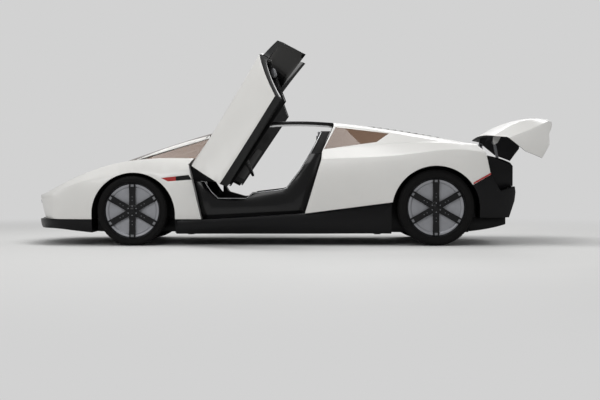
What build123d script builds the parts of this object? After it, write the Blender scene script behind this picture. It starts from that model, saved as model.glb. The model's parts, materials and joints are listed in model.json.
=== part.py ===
"""Two-door supercar with dihedral doors and a tail lid, as an assembly of separate pieces.

Frame: +X forward, +Y to the car's left, +Z up, the ground at Z = 0, all in millimetres. The doors
and the tail lid are modelled shut and then turned about their hinges to the raised pose.
"""

import math
import os
from collections import namedtuple

from build123d import *

# ---------------------------------------------------------------- driving dimensions
mid_x = 81.07  # middle of the wheelbase, ahead of the origin
wheelbase = 2840.0
front_axle_x = mid_x + wheelbase / 2
rear_axle_x = mid_x - wheelbase / 2

front_tyre_radius = 327.5
front_tyre_width = 245.0
rear_tyre_radius = 358.0
rear_tyre_width = 305.0
front_rim_radius = 268.0
rear_rim_radius = 281.0
front_tyre_outer_y = 962.0
rear_tyre_outer_y = 985.0

front_arch_radius = 391.0
front_arch_drop = 35.0
front_well_inner_y = 540.0
rear_arch_radius = 412.0
rear_arch_drop = 22.0
rear_well_inner_y = 640.0

panel_gap = 6.0  # shut lines between panels
glass_gap = 12.0  # seal width round the side glass
glass = 6.0
door_wall = 80.0
door_inner_y = 785.0
frame_wall = 32.0
skin = 25.0
lid_room = 95.0  # from the outer skin to the luggage tub under the lid
seat_gap = 0.3

sill_z = 110.0  # underside of the body
cabin_floor_z = 160.0
cabin_half = 700.0
cabin_front_x = mid_x + 960.0
cabin_rear_x = mid_x - 600.0
spine_half = 195.0

# hinge of the left door: a point at the door's front top corner and the axis up to the header
door_pivot = (mid_x + 860.0, 900.0, 790.0)
door_axis = (0.541, 0.680, -0.494)
door_open = 67.1

jack_pad_radius = 32.0
jack_pad_height = 8.0

# wheels and suspension
barrel_wall = 12.0
hub_radius = 62.0
hub_depth = 64.0
stub_radius = 30.0
stub_play = 0.05
stub_reach = 45.0
spoke_count = 6
spoke_width = 64.0
spoke_depth = 28.0
disc_thickness = 6.0
joint_gap = 5.0
knuckle_depth = 44.0
knuckle_half = 112.0
king_pin_radius = 12.0
arm_gap = 2.0
arm_thickness = 22.0
arm_spread = 170.0

arm_half = 10.0
arm_slot_half = 32.0
arm_pin_radius = 9.0

# tail lid: arm pivot on the body, lid pivot on the arm when shut, and the two swings
arm_pivot = (mid_x - 2117.0, 567.0)
lid_pivot_shut = (mid_x - 1834.0, 877.0)
arm_swing = 31.0
lid_swing = 70.0
arm_y = 470.0

# ---------------------------------------------------------------- body sections
# Each row is one cross section. floor, side, crease and belt are points (y, z) of the left half;
# crown is the height at the centre.
Hull = namedtuple("Hull", "x floor side crease belt crown")
hull_rows = [
    Hull(2412, (250, 395), (264, 425), (256, 450), (235, 462), 470),
    Hull(2352, (520, 190), (560, 330), (552, 452), (500, 474), 492),
    Hull(2220, (715, 118), (800, 330), (785, 480), (715, 520), 556),
    Hull(1960, (850, sill_z), (925, 400), (905, 580), (815, 645), 668),
    Hull(1420, (890, sill_z), (968, 450), (950, 665), (860, 800), 765),
    Hull(600, (880, sill_z), (955, 460), (940, 725), (868, 815), 780),
    Hull(-345, (880, sill_z), (975, 500), (950, 810), (865, 890), 860),
    Hull(-1100, (890, sill_z), (1002, 550), (985, 850), (835, 962), 990),
    Hull(-1800, (880, 125), (990, 560), (970, 883), (780, 955), 985),
    Hull(-2120, (805, 190), (895, 520), (892, 790), (705, 895), 918),
    Hull(-2285, (650, 270), (745, 530), (745, 742), (575, 802), 826),
    Hull(-2386, (440, 420), (520, 580), (500, 690), (400, 722), 734),
]

# The glasshouse: base and cant rail are points (y, z) of the left half, roof the centre height.
House = namedtuple("House", "x base cant roof")
house_rows = [
    House(1720, (560, 660), (470, 695), 722),
    House(1404, (850, 752), (742, 806), 862),
    House(784, (884, 776), (680, 1019), 1062),
    House(200, (884, 798), (622, 1122), 1188),
    House(-480, (880, 862), (600, 1138), 1186),
    House(-1015, (862, 920), (640, 1068), 1124),
    House(-1800, (800, 920), (690, 958), 983),
    House(-2050, (760, 890), (680, 925), 948),
]


def hull_section(row, inset):
    """One closed hull section, drawn inset from the outer skin."""
    floor = (row.floor[0] - inset, row.floor[1] + inset)
    side = (row.side[0] - inset, row.side[1])
    crease = (row.crease[0] - inset, row.crease[1] - 0.3 * inset)
    belt = (row.belt[0] - 0.6 * inset, row.belt[1] - inset)
    crown = (0, row.crown - inset)
    with BuildSketch(Plane.YZ.offset(mid_x + row.x)) as section:
        with BuildLine():
            Line((-floor[0], floor[1]), floor)
            ThreePointArc(floor, side, crease)
            Line(crease, belt)
            ThreePointArc(belt, crown, (-belt[0], belt[1]))
            Line((-belt[0], belt[1]), (-crease[0], crease[1]))
            ThreePointArc((-crease[0], crease[1]), (-side[0], side[1]), (-floor[0], floor[1]))
        make_face()
    return section.sketch


def house_section(row, inset):
    """One closed glasshouse section, drawn inset from the outer skin and open below it."""
    base = (row.base[0] - inset, row.base[1] - 1.5 * inset)
    cant = (row.cant[0] - 0.8 * inset, row.cant[1] - inset)
    roof = (0, row.roof - inset)
    with BuildSketch(Plane.YZ.offset(mid_x + row.x)) as section:
        with BuildLine():
            Line((-base[0], base[1]), base)
            Line(base, cant)
            ThreePointArc(cant, roof, (-cant[0], cant[1]))
            Line((-cant[0], cant[1]), (-base[0], base[1]))
        make_face()
    return section.sketch


def hull_solid(inset):
    with BuildPart() as solid:
        loft([hull_section(row, inset) for row in hull_rows])
    return solid.part


def house_solid(inset):
    with BuildPart() as solid:
        loft([house_section(row, inset) for row in house_rows])
    return solid.part


def side_prism(points, grow=0.0):
    """The side view outline of the points, from the ground up, right through the car."""
    with BuildPart() as prism:
        with BuildSketch(Plane.XZ):
            with BuildLine():
                Polyline([(mid_x + x, z) for x, z in points], close=True)
            make_face()
            if grow:
                offset(amount=grow, kind=Kind.INTERSECTION)
        extrude(amount=1300, both=True)
    return prism.part


def plan_prism(points, low, high):
    """The plan view outline of the points, between two heights."""
    with BuildPart() as prism:
        with BuildSketch(Plane.XY.offset(low)):
            with BuildLine():
                Polyline([(mid_x + x, y) for x, y in points], close=True)
            make_face()
        extrude(amount=high - low)
    return prism.part


def block(x_low, x_high, y_low, y_high, z_low, z_high):
    """A plain box between its limits, in the part's own frame."""
    size = (x_high - x_low, y_high - y_low, z_high - z_low)
    middle = ((x_low + x_high) / 2, (y_low + y_high) / 2, (z_low + z_high) / 2)
    with BuildPart() as box:
        with Locations(middle):
            Box(*size)
    return box.part


def wheel_well(axle_x, radius, centre_z, inner_y):
    """The space round one pair of wheels, from the well's inner wall out past the skin."""
    with BuildPart() as well:
        with BuildSketch(Plane.XZ.offset(-inner_y)):
            with Locations((axle_x, centre_z)):
                Circle(radius)
            with Locations((axle_x, centre_z - radius / 2 - 100)):
                Rectangle(2 * radius, radius + 200)
        extrude(amount=-(1300 - inner_y))
        mirror(about=Plane.XZ)
    return well.part


hull = hull_solid(0)
hull_inside_door = hull_solid(door_wall)
hull_inside_skin = hull_solid(skin)
hull_inside_lid = hull_solid(lid_room)
house = house_solid(0)
house_inside_glass = house_solid(glass)
house_inside_frame = house_solid(frame_wall)

front_wheel_y = front_tyre_outer_y - front_tyre_width / 2
rear_wheel_y = rear_tyre_outer_y - rear_tyre_width / 2
front_well = wheel_well(front_axle_x - 8, front_arch_radius, front_tyre_radius - front_arch_drop, front_well_inner_y)
rear_well = wheel_well(rear_axle_x, rear_arch_radius, rear_tyre_radius - rear_arch_drop, rear_well_inner_y)

# side view outlines, (x ahead of mid wheelbase, z)
white_low_z = 248.0
door_lower = [
    (775, 252), (857, 613), (892, 760), (846, 806), (700, 818), (100, 858), (-348, 897), (-341, 806), (-184, 302),
]
fender_region = [
    (2600, white_low_z), (2600, 900), (852, 900), (852, 812), (898, 762), (861, 613), (778, white_low_z),
]
rear_region = [
    (-196, 302), (-349, 806), (-358, 885), (-478, 1145), (-478, 1300), (-1820, 1300), (-1820, 948),
    (-1884, 883), (-1929, 664), (-1764, 572), (-1420, 420), (-1012, 407),
]
lid_region = [
    (-1830, 1300), (-1830, 948), (-1900, 876), (-1946, 664), (-2030, 516), (-2175, 562), (-2240, 634),
    (-2390, 686), (-2600, 700), (-2600, 1300),
]
lid_underside = [
    (-2195, 584), (-2240, 634), (-2390, 686), (-2600, 700), (-2600, 725), (-2390, 711), (-2225, 655), (-2195, 618),
]
fascia_region = [
    (-1764, 566), (-1933, 658), (-2027, 510), (-2171, 555), (-2180, 500), (-2172, 420), (-2122, 262), (-1764, 262),
]
quarter_glass_outline = [(-375, 905), (-490, 1122), (-1000, 1060), (-875, 975)]
# plan view outlines, (x ahead of mid wheelbase, y)
door_plan = [
    (900, 960), (835, 870), (715, 780), (575, 660), (505, 520), (430, 400), (290, spine_half + panel_gap),
    (-472, spine_half + panel_gap), (-472, 960),
]
cowl_plan = [(1600, 0), (1560, 300), (1400, 640), (980, 700), (980, 0)]

cabin_space = block(cabin_rear_x, cabin_front_x, -cabin_half - 20, cabin_half + 20, 100, 960)
door_space = block(-3000, 3000, door_inner_y, 1300, 0, 1400)


def both_sides(piece):
    """The piece and its mirror image across the car."""
    with BuildPart() as pair:
        add(piece)
        mirror(piece, about=Plane.XZ)
    return pair.part


pieces = {}

# ---------------------------------------------------------------- doors, shut
with BuildPart() as door_panel:
    add(hull)
    add(side_prism(door_lower, -panel_gap / 2), mode=Mode.INTERSECT)
    add(door_space, mode=Mode.INTERSECT)
    add(hull_inside_door, mode=Mode.SUBTRACT)
    add(house, mode=Mode.SUBTRACT)

door_house_side = [(1000, 700), (1000, 1300), (-420, 1300), (-472, 1150), (-346, 885), (-346, 700)]
window_side = [(775, 780), (560, 1000), (500, 1043), (200, 1088), (-418, 1100), (-325, 900), (-325, 780)]
window_plan = [(800, 960), (470, 560), (-450, 560), (-450, 960)]
with BuildPart() as window:
    add(side_prism(window_side))
    add(plan_prism(window_plan, 700, 1300), mode=Mode.INTERSECT)
with BuildPart() as door_glass:
    add(house)
    add(window.part, mode=Mode.INTERSECT)
    add(house_inside_glass, mode=Mode.SUBTRACT)
with BuildPart() as door_roof:
    add(house)
    add(plan_prism(door_plan, 700, 1300), mode=Mode.INTERSECT)
    add(side_prism(door_house_side, 0), mode=Mode.INTERSECT)
    add(house_inside_frame, mode=Mode.SUBTRACT)
    add(window.part, mode=Mode.SUBTRACT)

# ---------------------------------------------------------------- front body
lamp_slot = [(1150, 634), (1040, 646), (893, 662), (862, 618), (1085, 602)]
with BuildPart() as side_lamps:
    add(hull)
    add(side_prism(lamp_slot), mode=Mode.INTERSECT)
    add(hull_inside_skin, mode=Mode.SUBTRACT)
    add(front_well, mode=Mode.SUBTRACT)
pieces["side_lamps"] = side_lamps

with BuildPart() as front_clam:
    add(hull)
    add(side_prism(fender_region), mode=Mode.INTERSECT)
    add(front_well, mode=Mode.SUBTRACT)
    add(both_sides(plan_prism(cowl_plan, 560, 900)), mode=Mode.SUBTRACT)
    add(block(mid_x + 600, mid_x + 986, -760, 760, 0, 1200), mode=Mode.SUBTRACT)
    add(house, mode=Mode.SUBTRACT)
    add(side_lamps.part, mode=Mode.SUBTRACT)
pieces["front_clam"] = front_clam

with BuildPart() as dashboard:
    add(hull)
    add(both_sides(plan_prism(cowl_plan, 560, 900)), mode=Mode.INTERSECT)
    add(block(mid_x + 620, mid_x + 980, -690, 690, 600, 745))
    add(house, mode=Mode.SUBTRACT)
    add(front_well, mode=Mode.SUBTRACT)
pieces["dashboard"] = dashboard

splitter_plan = [
    (2200, 0), (2422, 0), (2420, 60), (2372, 330), (2318, 590), (2285, 680), (2235, 742), (2160, 784), (2060, 810),
    (2000, 700), (2000, 0),
]
with BuildPart() as front_splitter:
    add(hull)
    add(block(mid_x + 1012, mid_x + 2600, -1300, 1300, 0, white_low_z - panel_gap), mode=Mode.INTERSECT)
    add(both_sides(plan_prism(splitter_plan, 155, white_low_z - panel_gap)))
    add(front_well, mode=Mode.SUBTRACT)
pieces["front_splitter"] = front_splitter

screen_plan = [
    (1640, 0), (1600, 260), (1500, 500), (1404, 700), (784, 640), (700, 630), (610, 500), (510, 380), (370, 195),
    (370, 0),
]
with BuildPart() as windscreen:
    add(house)
    add(both_sides(plan_prism(screen_plan, 700, 1300)), mode=Mode.INTERSECT)
    add(house_inside_glass, mode=Mode.SUBTRACT)
    add(hull, mode=Mode.SUBTRACT)
pieces["windscreen"] = windscreen

header_plan = [
    (308, 0), (308, 201), (450, 400), (555, 520), (640, 622), (664, 626), (716, 668), (760, 700), (700, 630),
    (610, 500), (510, 380), (370, 195), (370, 0),
]
with BuildPart() as bars:
    add(both_sides(plan_prism(header_plan, 985, 1300)))
    add(block(mid_x - 477.7, mid_x + 350, -spine_half, spine_half, 985, 1300))
with BuildPart() as roof_frame:
    add(house)
    add(bars.part, mode=Mode.INTERSECT)
    add(house_inside_frame, mode=Mode.SUBTRACT)
pieces["roof_frame"] = roof_frame

strip_plan = [(1404, 712), (784, 650), (712, 642), (712, 1000), (1404, 1000)]
strip_side = [(1460, 786), (784, 990), (690, 1020), (690, 1300), (1460, 1300)]
with BuildPart() as pillar_strips:
    add(house)
    add(both_sides(plan_prism(strip_plan, 700, 1300)), mode=Mode.INTERSECT)
    add(side_prism(strip_side), mode=Mode.INTERSECT)
    add(house_inside_frame, mode=Mode.SUBTRACT)
    add(roof_frame.part, mode=Mode.SUBTRACT)
    add(hull, mode=Mode.SUBTRACT)
    add(windscreen.part, mode=Mode.SUBTRACT)
pieces["pillar_strips"] = pillar_strips

front_glass_side = [(1340, 808), (784, 984), (680, 1017), (680, 780), (1340, 780)]
front_glass_plan = [(1400, 500), (716, 640), (722, 690), (760, 780), (862, 870), (921, 960), (1400, 960)]
with BuildPart() as front_quarter_glass:
    add(house)
    add(both_sides(plan_prism(front_glass_plan, 700, 1300)), mode=Mode.INTERSECT)
    add(side_prism(front_glass_side), mode=Mode.INTERSECT)
    add(house_inside_glass, mode=Mode.SUBTRACT)
    add(hull, mode=Mode.SUBTRACT)
    add(roof_frame.part, mode=Mode.SUBTRACT)
    add(pillar_strips.part, mode=Mode.SUBTRACT)
pieces["front_quarter_glass"] = front_quarter_glass

# ---------------------------------------------------------------- tub and sills
with BuildPart() as cabin_tub:
    add(block(cabin_rear_x, cabin_front_x + 20, -cabin_half, cabin_half, sill_z, cabin_floor_z))
    add(block(cabin_front_x, cabin_front_x + 20, -cabin_half, cabin_half, cabin_floor_z, 600))
    add(block(cabin_rear_x, cabin_rear_x + 40, -cabin_half, cabin_half, cabin_floor_z, 880))
    add(block(cabin_rear_x + 40, cabin_front_x, -110, 110, cabin_floor_z, 300))
pieces["cabin_tub"] = cabin_tub

sill_region = [(1012, 100), (1012, 242), (775, 242), (-184, 293), (-1012, 398), (-1012, 100)]
with BuildPart() as sills:
    add(hull)
    add(side_prism(sill_region), mode=Mode.INTERSECT)
    add(block(-3000, 3000, -905, 905, 0, 500), mode=Mode.INTERSECT)
    add(block(-3000, 3000, -cabin_half, cabin_half, 0, 500), mode=Mode.SUBTRACT)
    add(front_well, mode=Mode.SUBTRACT)
    add(rear_well, mode=Mode.SUBTRACT)
    with Locations([(mid_x + x, y, sill_z - jack_pad_height) for x in (880, -880) for y in (790, -790)]):
        Cylinder(jack_pad_radius, jack_pad_height + 20, align=(Align.CENTER, Align.CENTER, Align.MIN))
pieces["sills"] = sills

# ---------------------------------------------------------------- rear body
engine_bay = block(mid_x - 1760, mid_x - 606, -600, 600, 90, 880)
boot = block(mid_x - 2130, mid_x - 1900, -400, 400, 560, 1300)
lamp_band = [(-1764, 574), (-1931, 666), (-1929, 684), (-1764, 592)]
with BuildPart() as arm_slots:
    for side in (1, -1):
        add(block(mid_x - 2150, mid_x - 1700, side * arm_y - arm_slot_half, side * arm_y + arm_slot_half, 520, 925))
with BuildPart() as tail_space:
    add(hull_inside_skin)
    add(block(mid_x - 2600, mid_x - 1790, -1300, 1300, 300, 1300), mode=Mode.INTERSECT)
lid_clearance = block(mid_x - 2600, mid_x - 1820, -762, 762, 560, 948)
with BuildPart() as head_room:
    add(house_inside_frame)
    add(block(cabin_rear_x, cabin_front_x, -1000, 1000, 900, 1300), mode=Mode.INTERSECT)
with BuildPart() as glass_pocket:
    add(side_prism(quarter_glass_outline))
    add(block(-3000, 3000, -560, 560, 0, 1400), mode=Mode.SUBTRACT)
with BuildPart() as rear_clam:
    add(hull)
    add(house)
    add(side_prism(rear_region), mode=Mode.INTERSECT)
    add(rear_well, mode=Mode.SUBTRACT)
    add(engine_bay, mode=Mode.SUBTRACT)
    add(block(cabin_rear_x, cabin_front_x, -740, 740, 100, 970), mode=Mode.SUBTRACT)
    add(head_room.part, mode=Mode.SUBTRACT)
    add(glass_pocket.part, mode=Mode.SUBTRACT)
    add(tail_space.part, mode=Mode.SUBTRACT)
    add(lid_clearance, mode=Mode.SUBTRACT)
    add(arm_slots.part, mode=Mode.SUBTRACT)
    add(side_prism(lamp_band), mode=Mode.SUBTRACT)
pieces["rear_clam"] = rear_clam

with BuildPart() as rear_quarter_glass:
    add(house)
    add(glass_pocket.part, mode=Mode.INTERSECT)
    add(house_inside_glass, mode=Mode.SUBTRACT)
    add(hull, mode=Mode.SUBTRACT)
pieces["rear_quarter_glass"] = rear_quarter_glass

with BuildPart() as tail_tub:
    add(hull_inside_lid)
    add(side_prism([(-1826, 500), (-2030, 514), (-2168, 560), (-2168, 1300), (-1826, 1300)]), mode=Mode.INTERSECT)
    add(block(-3000, 3000, -760, 760, 0, 1400), mode=Mode.INTERSECT)
    add(boot, mode=Mode.SUBTRACT)
    add(arm_slots.part, mode=Mode.SUBTRACT)
    add(rear_well, mode=Mode.SUBTRACT)
    for side in (1, -1):
        with BuildSketch(Plane.XZ.offset(-side * arm_y - arm_slot_half - 4)):
            with Locations(arm_pivot):
                Circle(arm_pin_radius)
        extrude(amount=2 * arm_slot_half + 8)

with BuildPart() as rear_fascia:
    add(hull)
    add(side_prism(fascia_region), mode=Mode.INTERSECT)
    add(rear_well, mode=Mode.SUBTRACT)
    add(boot, mode=Mode.SUBTRACT)
    add(arm_slots.part, mode=Mode.SUBTRACT)
    add(tail_tub.part, mode=Mode.SUBTRACT)

with BuildPart() as tail_lamps:
    add(hull)
    add(side_prism(lamp_band), mode=Mode.INTERSECT)
    add(hull_inside_skin, mode=Mode.SUBTRACT)
    add(rear_well, mode=Mode.SUBTRACT)
pieces["tail_lamps"] = tail_lamps
pieces["tail_tub"] = tail_tub
pieces["rear_fascia"] = rear_fascia

with BuildPart() as lid_shut:
    add(hull)
    add(side_prism(lid_region), mode=Mode.INTERSECT)
    add(hull_inside_skin, mode=Mode.SUBTRACT)
    with BuildPart() as underside:
        add(hull)
        add(side_prism(lid_underside), mode=Mode.INTERSECT)
    add(underside.part)

with BuildPart() as diffuser:
    add(hull)
    add(block(mid_x - 2122, mid_x - 1770, -620, 620, 0, 262), mode=Mode.INTERSECT)
    add(rear_well, mode=Mode.SUBTRACT)
    for count in range(7):
        middle = (count - 3) * 165
        add(block(mid_x - 2600, mid_x - 1900, middle - 68, middle + 68, 0, 235), mode=Mode.SUBTRACT)
pieces["diffuser"] = diffuser

rear_floor_side = [(-606, 115), (-606, 350), (-1012, 401), (-1420, 414), (-1764, 566), (-1764, 115)]
with BuildPart() as rear_floor:
    add(side_prism(rear_floor_side))
    add(block(-3000, 3000, -rear_well_inner_y, rear_well_inner_y, 0, 1000), mode=Mode.INTERSECT)
    add(block(-3000, 3000, -600, 600, 150, 1000), mode=Mode.SUBTRACT)
pieces["rear_floor"] = rear_floor

with BuildPart() as power_unit:
    add(block(mid_x - 1700, mid_x - 780, -400, 400, 150, 620))
pieces["power_unit"] = power_unit

# ---------------------------------------------------------------- cabin
seat_half = 240.0
seat_y = 370.0
with BuildPart() as seat_cushions:
    with BuildSketch(Plane.XZ.offset(-seat_y + seat_half)):
        with BuildLine():
            Polyline([
                (mid_x - 330, cabin_floor_z + seat_gap), (mid_x + 210, cabin_floor_z + seat_gap),
                (mid_x + 225, 330), (mid_x + 150, 350), (mid_x - 250, 270), (mid_x - 345, 280),
            ], close=True)
        make_face()
    extrude(amount=-2 * seat_half)
    fillet(seat_cushions.edges().filter_by(Axis.Y).group_by(Axis.Z)[-1], 25)
    mirror(about=Plane.XZ)
pieces["seat_cushions"] = seat_cushions
with BuildPart() as seat_backs:
    with BuildSketch(Plane.XZ.offset(-seat_y + seat_half)):
        with BuildLine():
            Polyline([
                (mid_x - 350, 280.9), (mid_x - 256, 271.0), (mid_x - 370, 700), (mid_x - 430, 930),
                (mid_x - 510, 930), (mid_x - 500, 640), (mid_x - 440, 320),
            ], close=True)
        make_face()
    extrude(amount=-2 * seat_half)
    mirror(about=Plane.XZ)
pieces["seat_backs"] = seat_backs

wheel_centre = (mid_x + 385, seat_y, 790)
with BuildPart() as steering_wheel:
    with BuildSketch(Plane(origin=wheel_centre, x_dir=(0, 1, 0), z_dir=(-0.92, 0, 0.39))) as rim_face:
        Circle(172)
        Circle(148, mode=Mode.SUBTRACT)
        Rectangle(320, 34)
        Circle(46)
    extrude(amount=13, both=True)
    with BuildSketch(Plane(origin=wheel_centre, x_dir=(0, 1, 0), z_dir=(0.92, 0, -0.39))):
        Circle(26)
    extrude(amount=262)
    add(dashboard.part, mode=Mode.SUBTRACT)
pieces["steering_wheel"] = steering_wheel

# ---------------------------------------------------------------- wheels and what carries them
Corner = namedtuple("Corner", "name axle_x wheel_y pin_y radius width rim_radius wall_y")
corners = [
    Corner("front", front_axle_x, front_wheel_y, front_wheel_y, front_tyre_radius, front_tyre_width,
           front_rim_radius, front_well_inner_y),
    Corner("rear", rear_axle_x, rear_wheel_y, rear_wheel_y + 45, rear_tyre_radius, rear_tyre_width,
           rear_rim_radius, rear_well_inner_y),
]


def wheel_set(corner):
    """The left tyre, wheel, disc, knuckle and wishbones of one axle."""
    half = corner.width / 2
    seat = corner.rim_radius - 6
    barrel = seat - barrel_wall
    hub_inner = half - hub_depth - 16
    tread = corner.radius - 6
    bulge = (seat + corner.radius) / 2 + 5
    centre = (corner.axle_x, corner.wheel_y, corner.radius)
    axle = Plane(centre, x_dir=(1, 0, 0), z_dir=(0, 1, 0))
    section = Plane(centre, x_dir=(0, 1, 0), z_dir=(1, 0, 0))
    turn = Axis(centre, (0, 1, 0))
    with BuildPart() as tyre:
        with BuildSketch(section):
            with BuildLine():
                Line((12 - half, seat), (half - 12, seat))
                ThreePointArc((half - 12, seat), (half, bulge), (half - 22, tread))
                ThreePointArc((half - 22, tread), (0, corner.radius), (22 - half, tread))
                ThreePointArc((22 - half, tread), (-half, bulge), (12 - half, seat))
            make_face()
        revolve(axis=turn)
    with BuildPart() as wheel:
        with BuildSketch(section):
            with BuildLine():
                Polyline([(12 - half, seat), (half - 12, seat), (half - 6, barrel), (12 - half, barrel)], close=True)
            make_face()
        revolve(axis=turn)
        with BuildSketch(axle.offset(half - 46)):
            Circle(hub_radius + 8)
            with PolarLocations((barrel + hub_radius) / 2, spoke_count, start_angle=30):
                Rectangle(barrel - hub_radius + 8, spoke_width)
        extrude(amount=spoke_depth)
        with BuildSketch(axle.offset(hub_inner)):
            Circle(hub_radius)
        extrude(amount=hub_depth)
        with BuildSketch(axle.offset(hub_inner)):
            Circle(stub_radius + stub_play)
        extrude(amount=stub_reach + joint_gap, mode=Mode.SUBTRACT)
    with BuildPart() as disc:
        with BuildSketch(axle.offset(half - 46 - disc_thickness)):
            Circle(barrel)
            Circle(hub_radius, mode=Mode.SUBTRACT)
        extrude(amount=disc_thickness)
    with BuildPart() as knuckle:
        with BuildSketch(axle.offset(hub_inner - joint_gap - knuckle_depth)):
            RectangleRounded(84, 2 * knuckle_half, 14)
        extrude(amount=knuckle_depth)
        with BuildSketch(axle.offset(hub_inner - joint_gap)):
            Circle(stub_radius)
        extrude(amount=joint_gap + stub_reach)
        with Locations((corner.axle_x, corner.pin_y, corner.radius)):
            Cylinder(king_pin_radius, 2 * (knuckle_half + arm_gap + arm_thickness))
    with BuildPart() as arms:
        for low in (knuckle_half + arm_gap, -knuckle_half - arm_gap - arm_thickness):
            with BuildSketch(Plane.XY.offset(corner.radius + low)):
                with Locations((corner.axle_x, corner.pin_y)):
                    Circle(32)
                with BuildLine():
                    Polyline([
                        (corner.axle_x - 26, corner.pin_y), (corner.axle_x - arm_spread, corner.wall_y),
                        (corner.axle_x - arm_spread + 40, corner.wall_y), (corner.axle_x, corner.pin_y - 60),
                        (corner.axle_x + arm_spread - 40, corner.wall_y), (corner.axle_x + arm_spread, corner.wall_y),
                        (corner.axle_x + 26, corner.pin_y),
                    ], close=True)
                make_face()
                with Locations((corner.axle_x, corner.pin_y)):
                    Circle(king_pin_radius + stub_play, mode=Mode.SUBTRACT)
            extrude(amount=arm_thickness)
    return {"tyre": tyre, "wheel": wheel, "disc": disc, "knuckle": knuckle, "wishbones": arms}


for corner in corners:
    made = wheel_set(corner)
    for kind in ("tyre", "wheel", "disc"):
        with BuildPart() as other_side:
            mirror(made[kind].part, about=Plane.XZ)
        pieces[f"{corner.name}_{kind}_left"] = made[kind]
        pieces[f"{corner.name}_{kind}_right"] = other_side
    with BuildPart() as wishbones:
        add(both_sides(made["wishbones"].part))
    pieces[f"{corner.name}_wishbones"] = wishbones
    if corner.name == "front":
        with BuildPart() as other_side:
            mirror(made["knuckle"].part, about=Plane.XZ)
        pieces["front_knuckle_left"] = made["knuckle"]
        pieces["front_knuckle_right"] = other_side
    else:
        with BuildPart() as rear_knuckles:
            add(both_sides(made["knuckle"].part))
        pieces["rear_knuckles"] = rear_knuckles

# ---------------------------------------------------------------- doors and lid, raised
hinge = Axis(door_pivot, door_axis)
for name, shut in (("door_panel", door_panel), ("door_glass", door_glass), ("door_roof", door_roof)):
    with BuildPart() as left:
        add(shut)
    left.part = left.part.rotate(hinge, door_open)
    with BuildPart() as right:
        mirror(left.part, about=Plane.XZ)
    pieces[f"{name}_left"] = left
    pieces[f"{name}_right"] = right

arm_axis = Axis((arm_pivot[0], 0, arm_pivot[1]), (0, 1, 0))
lid_axis = Axis((lid_pivot_shut[0], 0, lid_pivot_shut[1]), (0, 1, 0))
arm_length = math.dist(arm_pivot, lid_pivot_shut)
arm_angle = math.degrees(math.atan2(lid_pivot_shut[1] - arm_pivot[1], lid_pivot_shut[0] - arm_pivot[0]))
with BuildPart() as arms_shut:
    for side in (1, -1):
        with BuildSketch(Plane.XZ.offset(-side * arm_y - arm_half)):
            with Locations((arm_pivot[0], arm_pivot[1]), (lid_pivot_shut[0], lid_pivot_shut[1])):
                Circle(22)
            with Locations(((arm_pivot[0] + lid_pivot_shut[0]) / 2, (arm_pivot[1] + lid_pivot_shut[1]) / 2)):
                Rectangle(arm_length, 26, rotation=arm_angle)
            with Locations((arm_pivot[0], arm_pivot[1]), (lid_pivot_shut[0], lid_pivot_shut[1])):
                Circle(arm_pin_radius + stub_play, mode=Mode.SUBTRACT)
        extrude(amount=2 * arm_half)
with BuildPart() as brackets:
    for side in (1, -1):
        with BuildSketch(Plane.XZ.offset(-side * (arm_y + arm_half + 8) - 6)):
            with BuildLine():
                Polyline([
                    (lid_pivot_shut[0] + 20, lid_pivot_shut[1] - 12), (lid_pivot_shut[0] + 4, lid_pivot_shut[1] + 20),
                    (lid_pivot_shut[0] - 45, 948), (lid_pivot_shut[0] - 190, 925), (lid_pivot_shut[0] - 20, lid_pivot_shut[1] - 22),
                ], close=True)
            make_face()
        extrude(amount=12)
        with BuildSketch(Plane.XZ.offset(-side * (arm_y + 3) - arm_half - 8)):
            with Locations((lid_pivot_shut[0], lid_pivot_shut[1])):
                Circle(arm_pin_radius)
        extrude(amount=2 * arm_half + 16)
with BuildPart() as lid_up:
    add(lid_shut)
    add(brackets)
lid_up.part = lid_up.part.rotate(lid_axis, lid_swing).rotate(arm_axis, -arm_swing)
arms_shut.part = arms_shut.part.rotate(arm_axis, -arm_swing)
pieces["tail_lid"] = lid_up
pieces["lid_arms"] = arms_shut

os.makedirs("parts", exist_ok=True)
for name, piece in pieces.items():
    piece.part.label = name
    export_step(piece.part, f"parts/{name}.step")
    print(name, round(piece.part.volume / 1e9, 4), len(piece.part.solids()), piece.part.is_valid)
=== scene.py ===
"""Looks of a two-door supercar with raised dihedral doors and a raised tail lid.

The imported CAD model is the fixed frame. Body panels are its own solids with softened edges, and
wheels, tyres, seats, lamps and small fittings are modelled here around it, all in metres.
"""

import json
import math

import bmesh
import bpy
import numpy as np
from mathutils import Matrix, Vector
from mathutils.bvhtree import BVHTree


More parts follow.
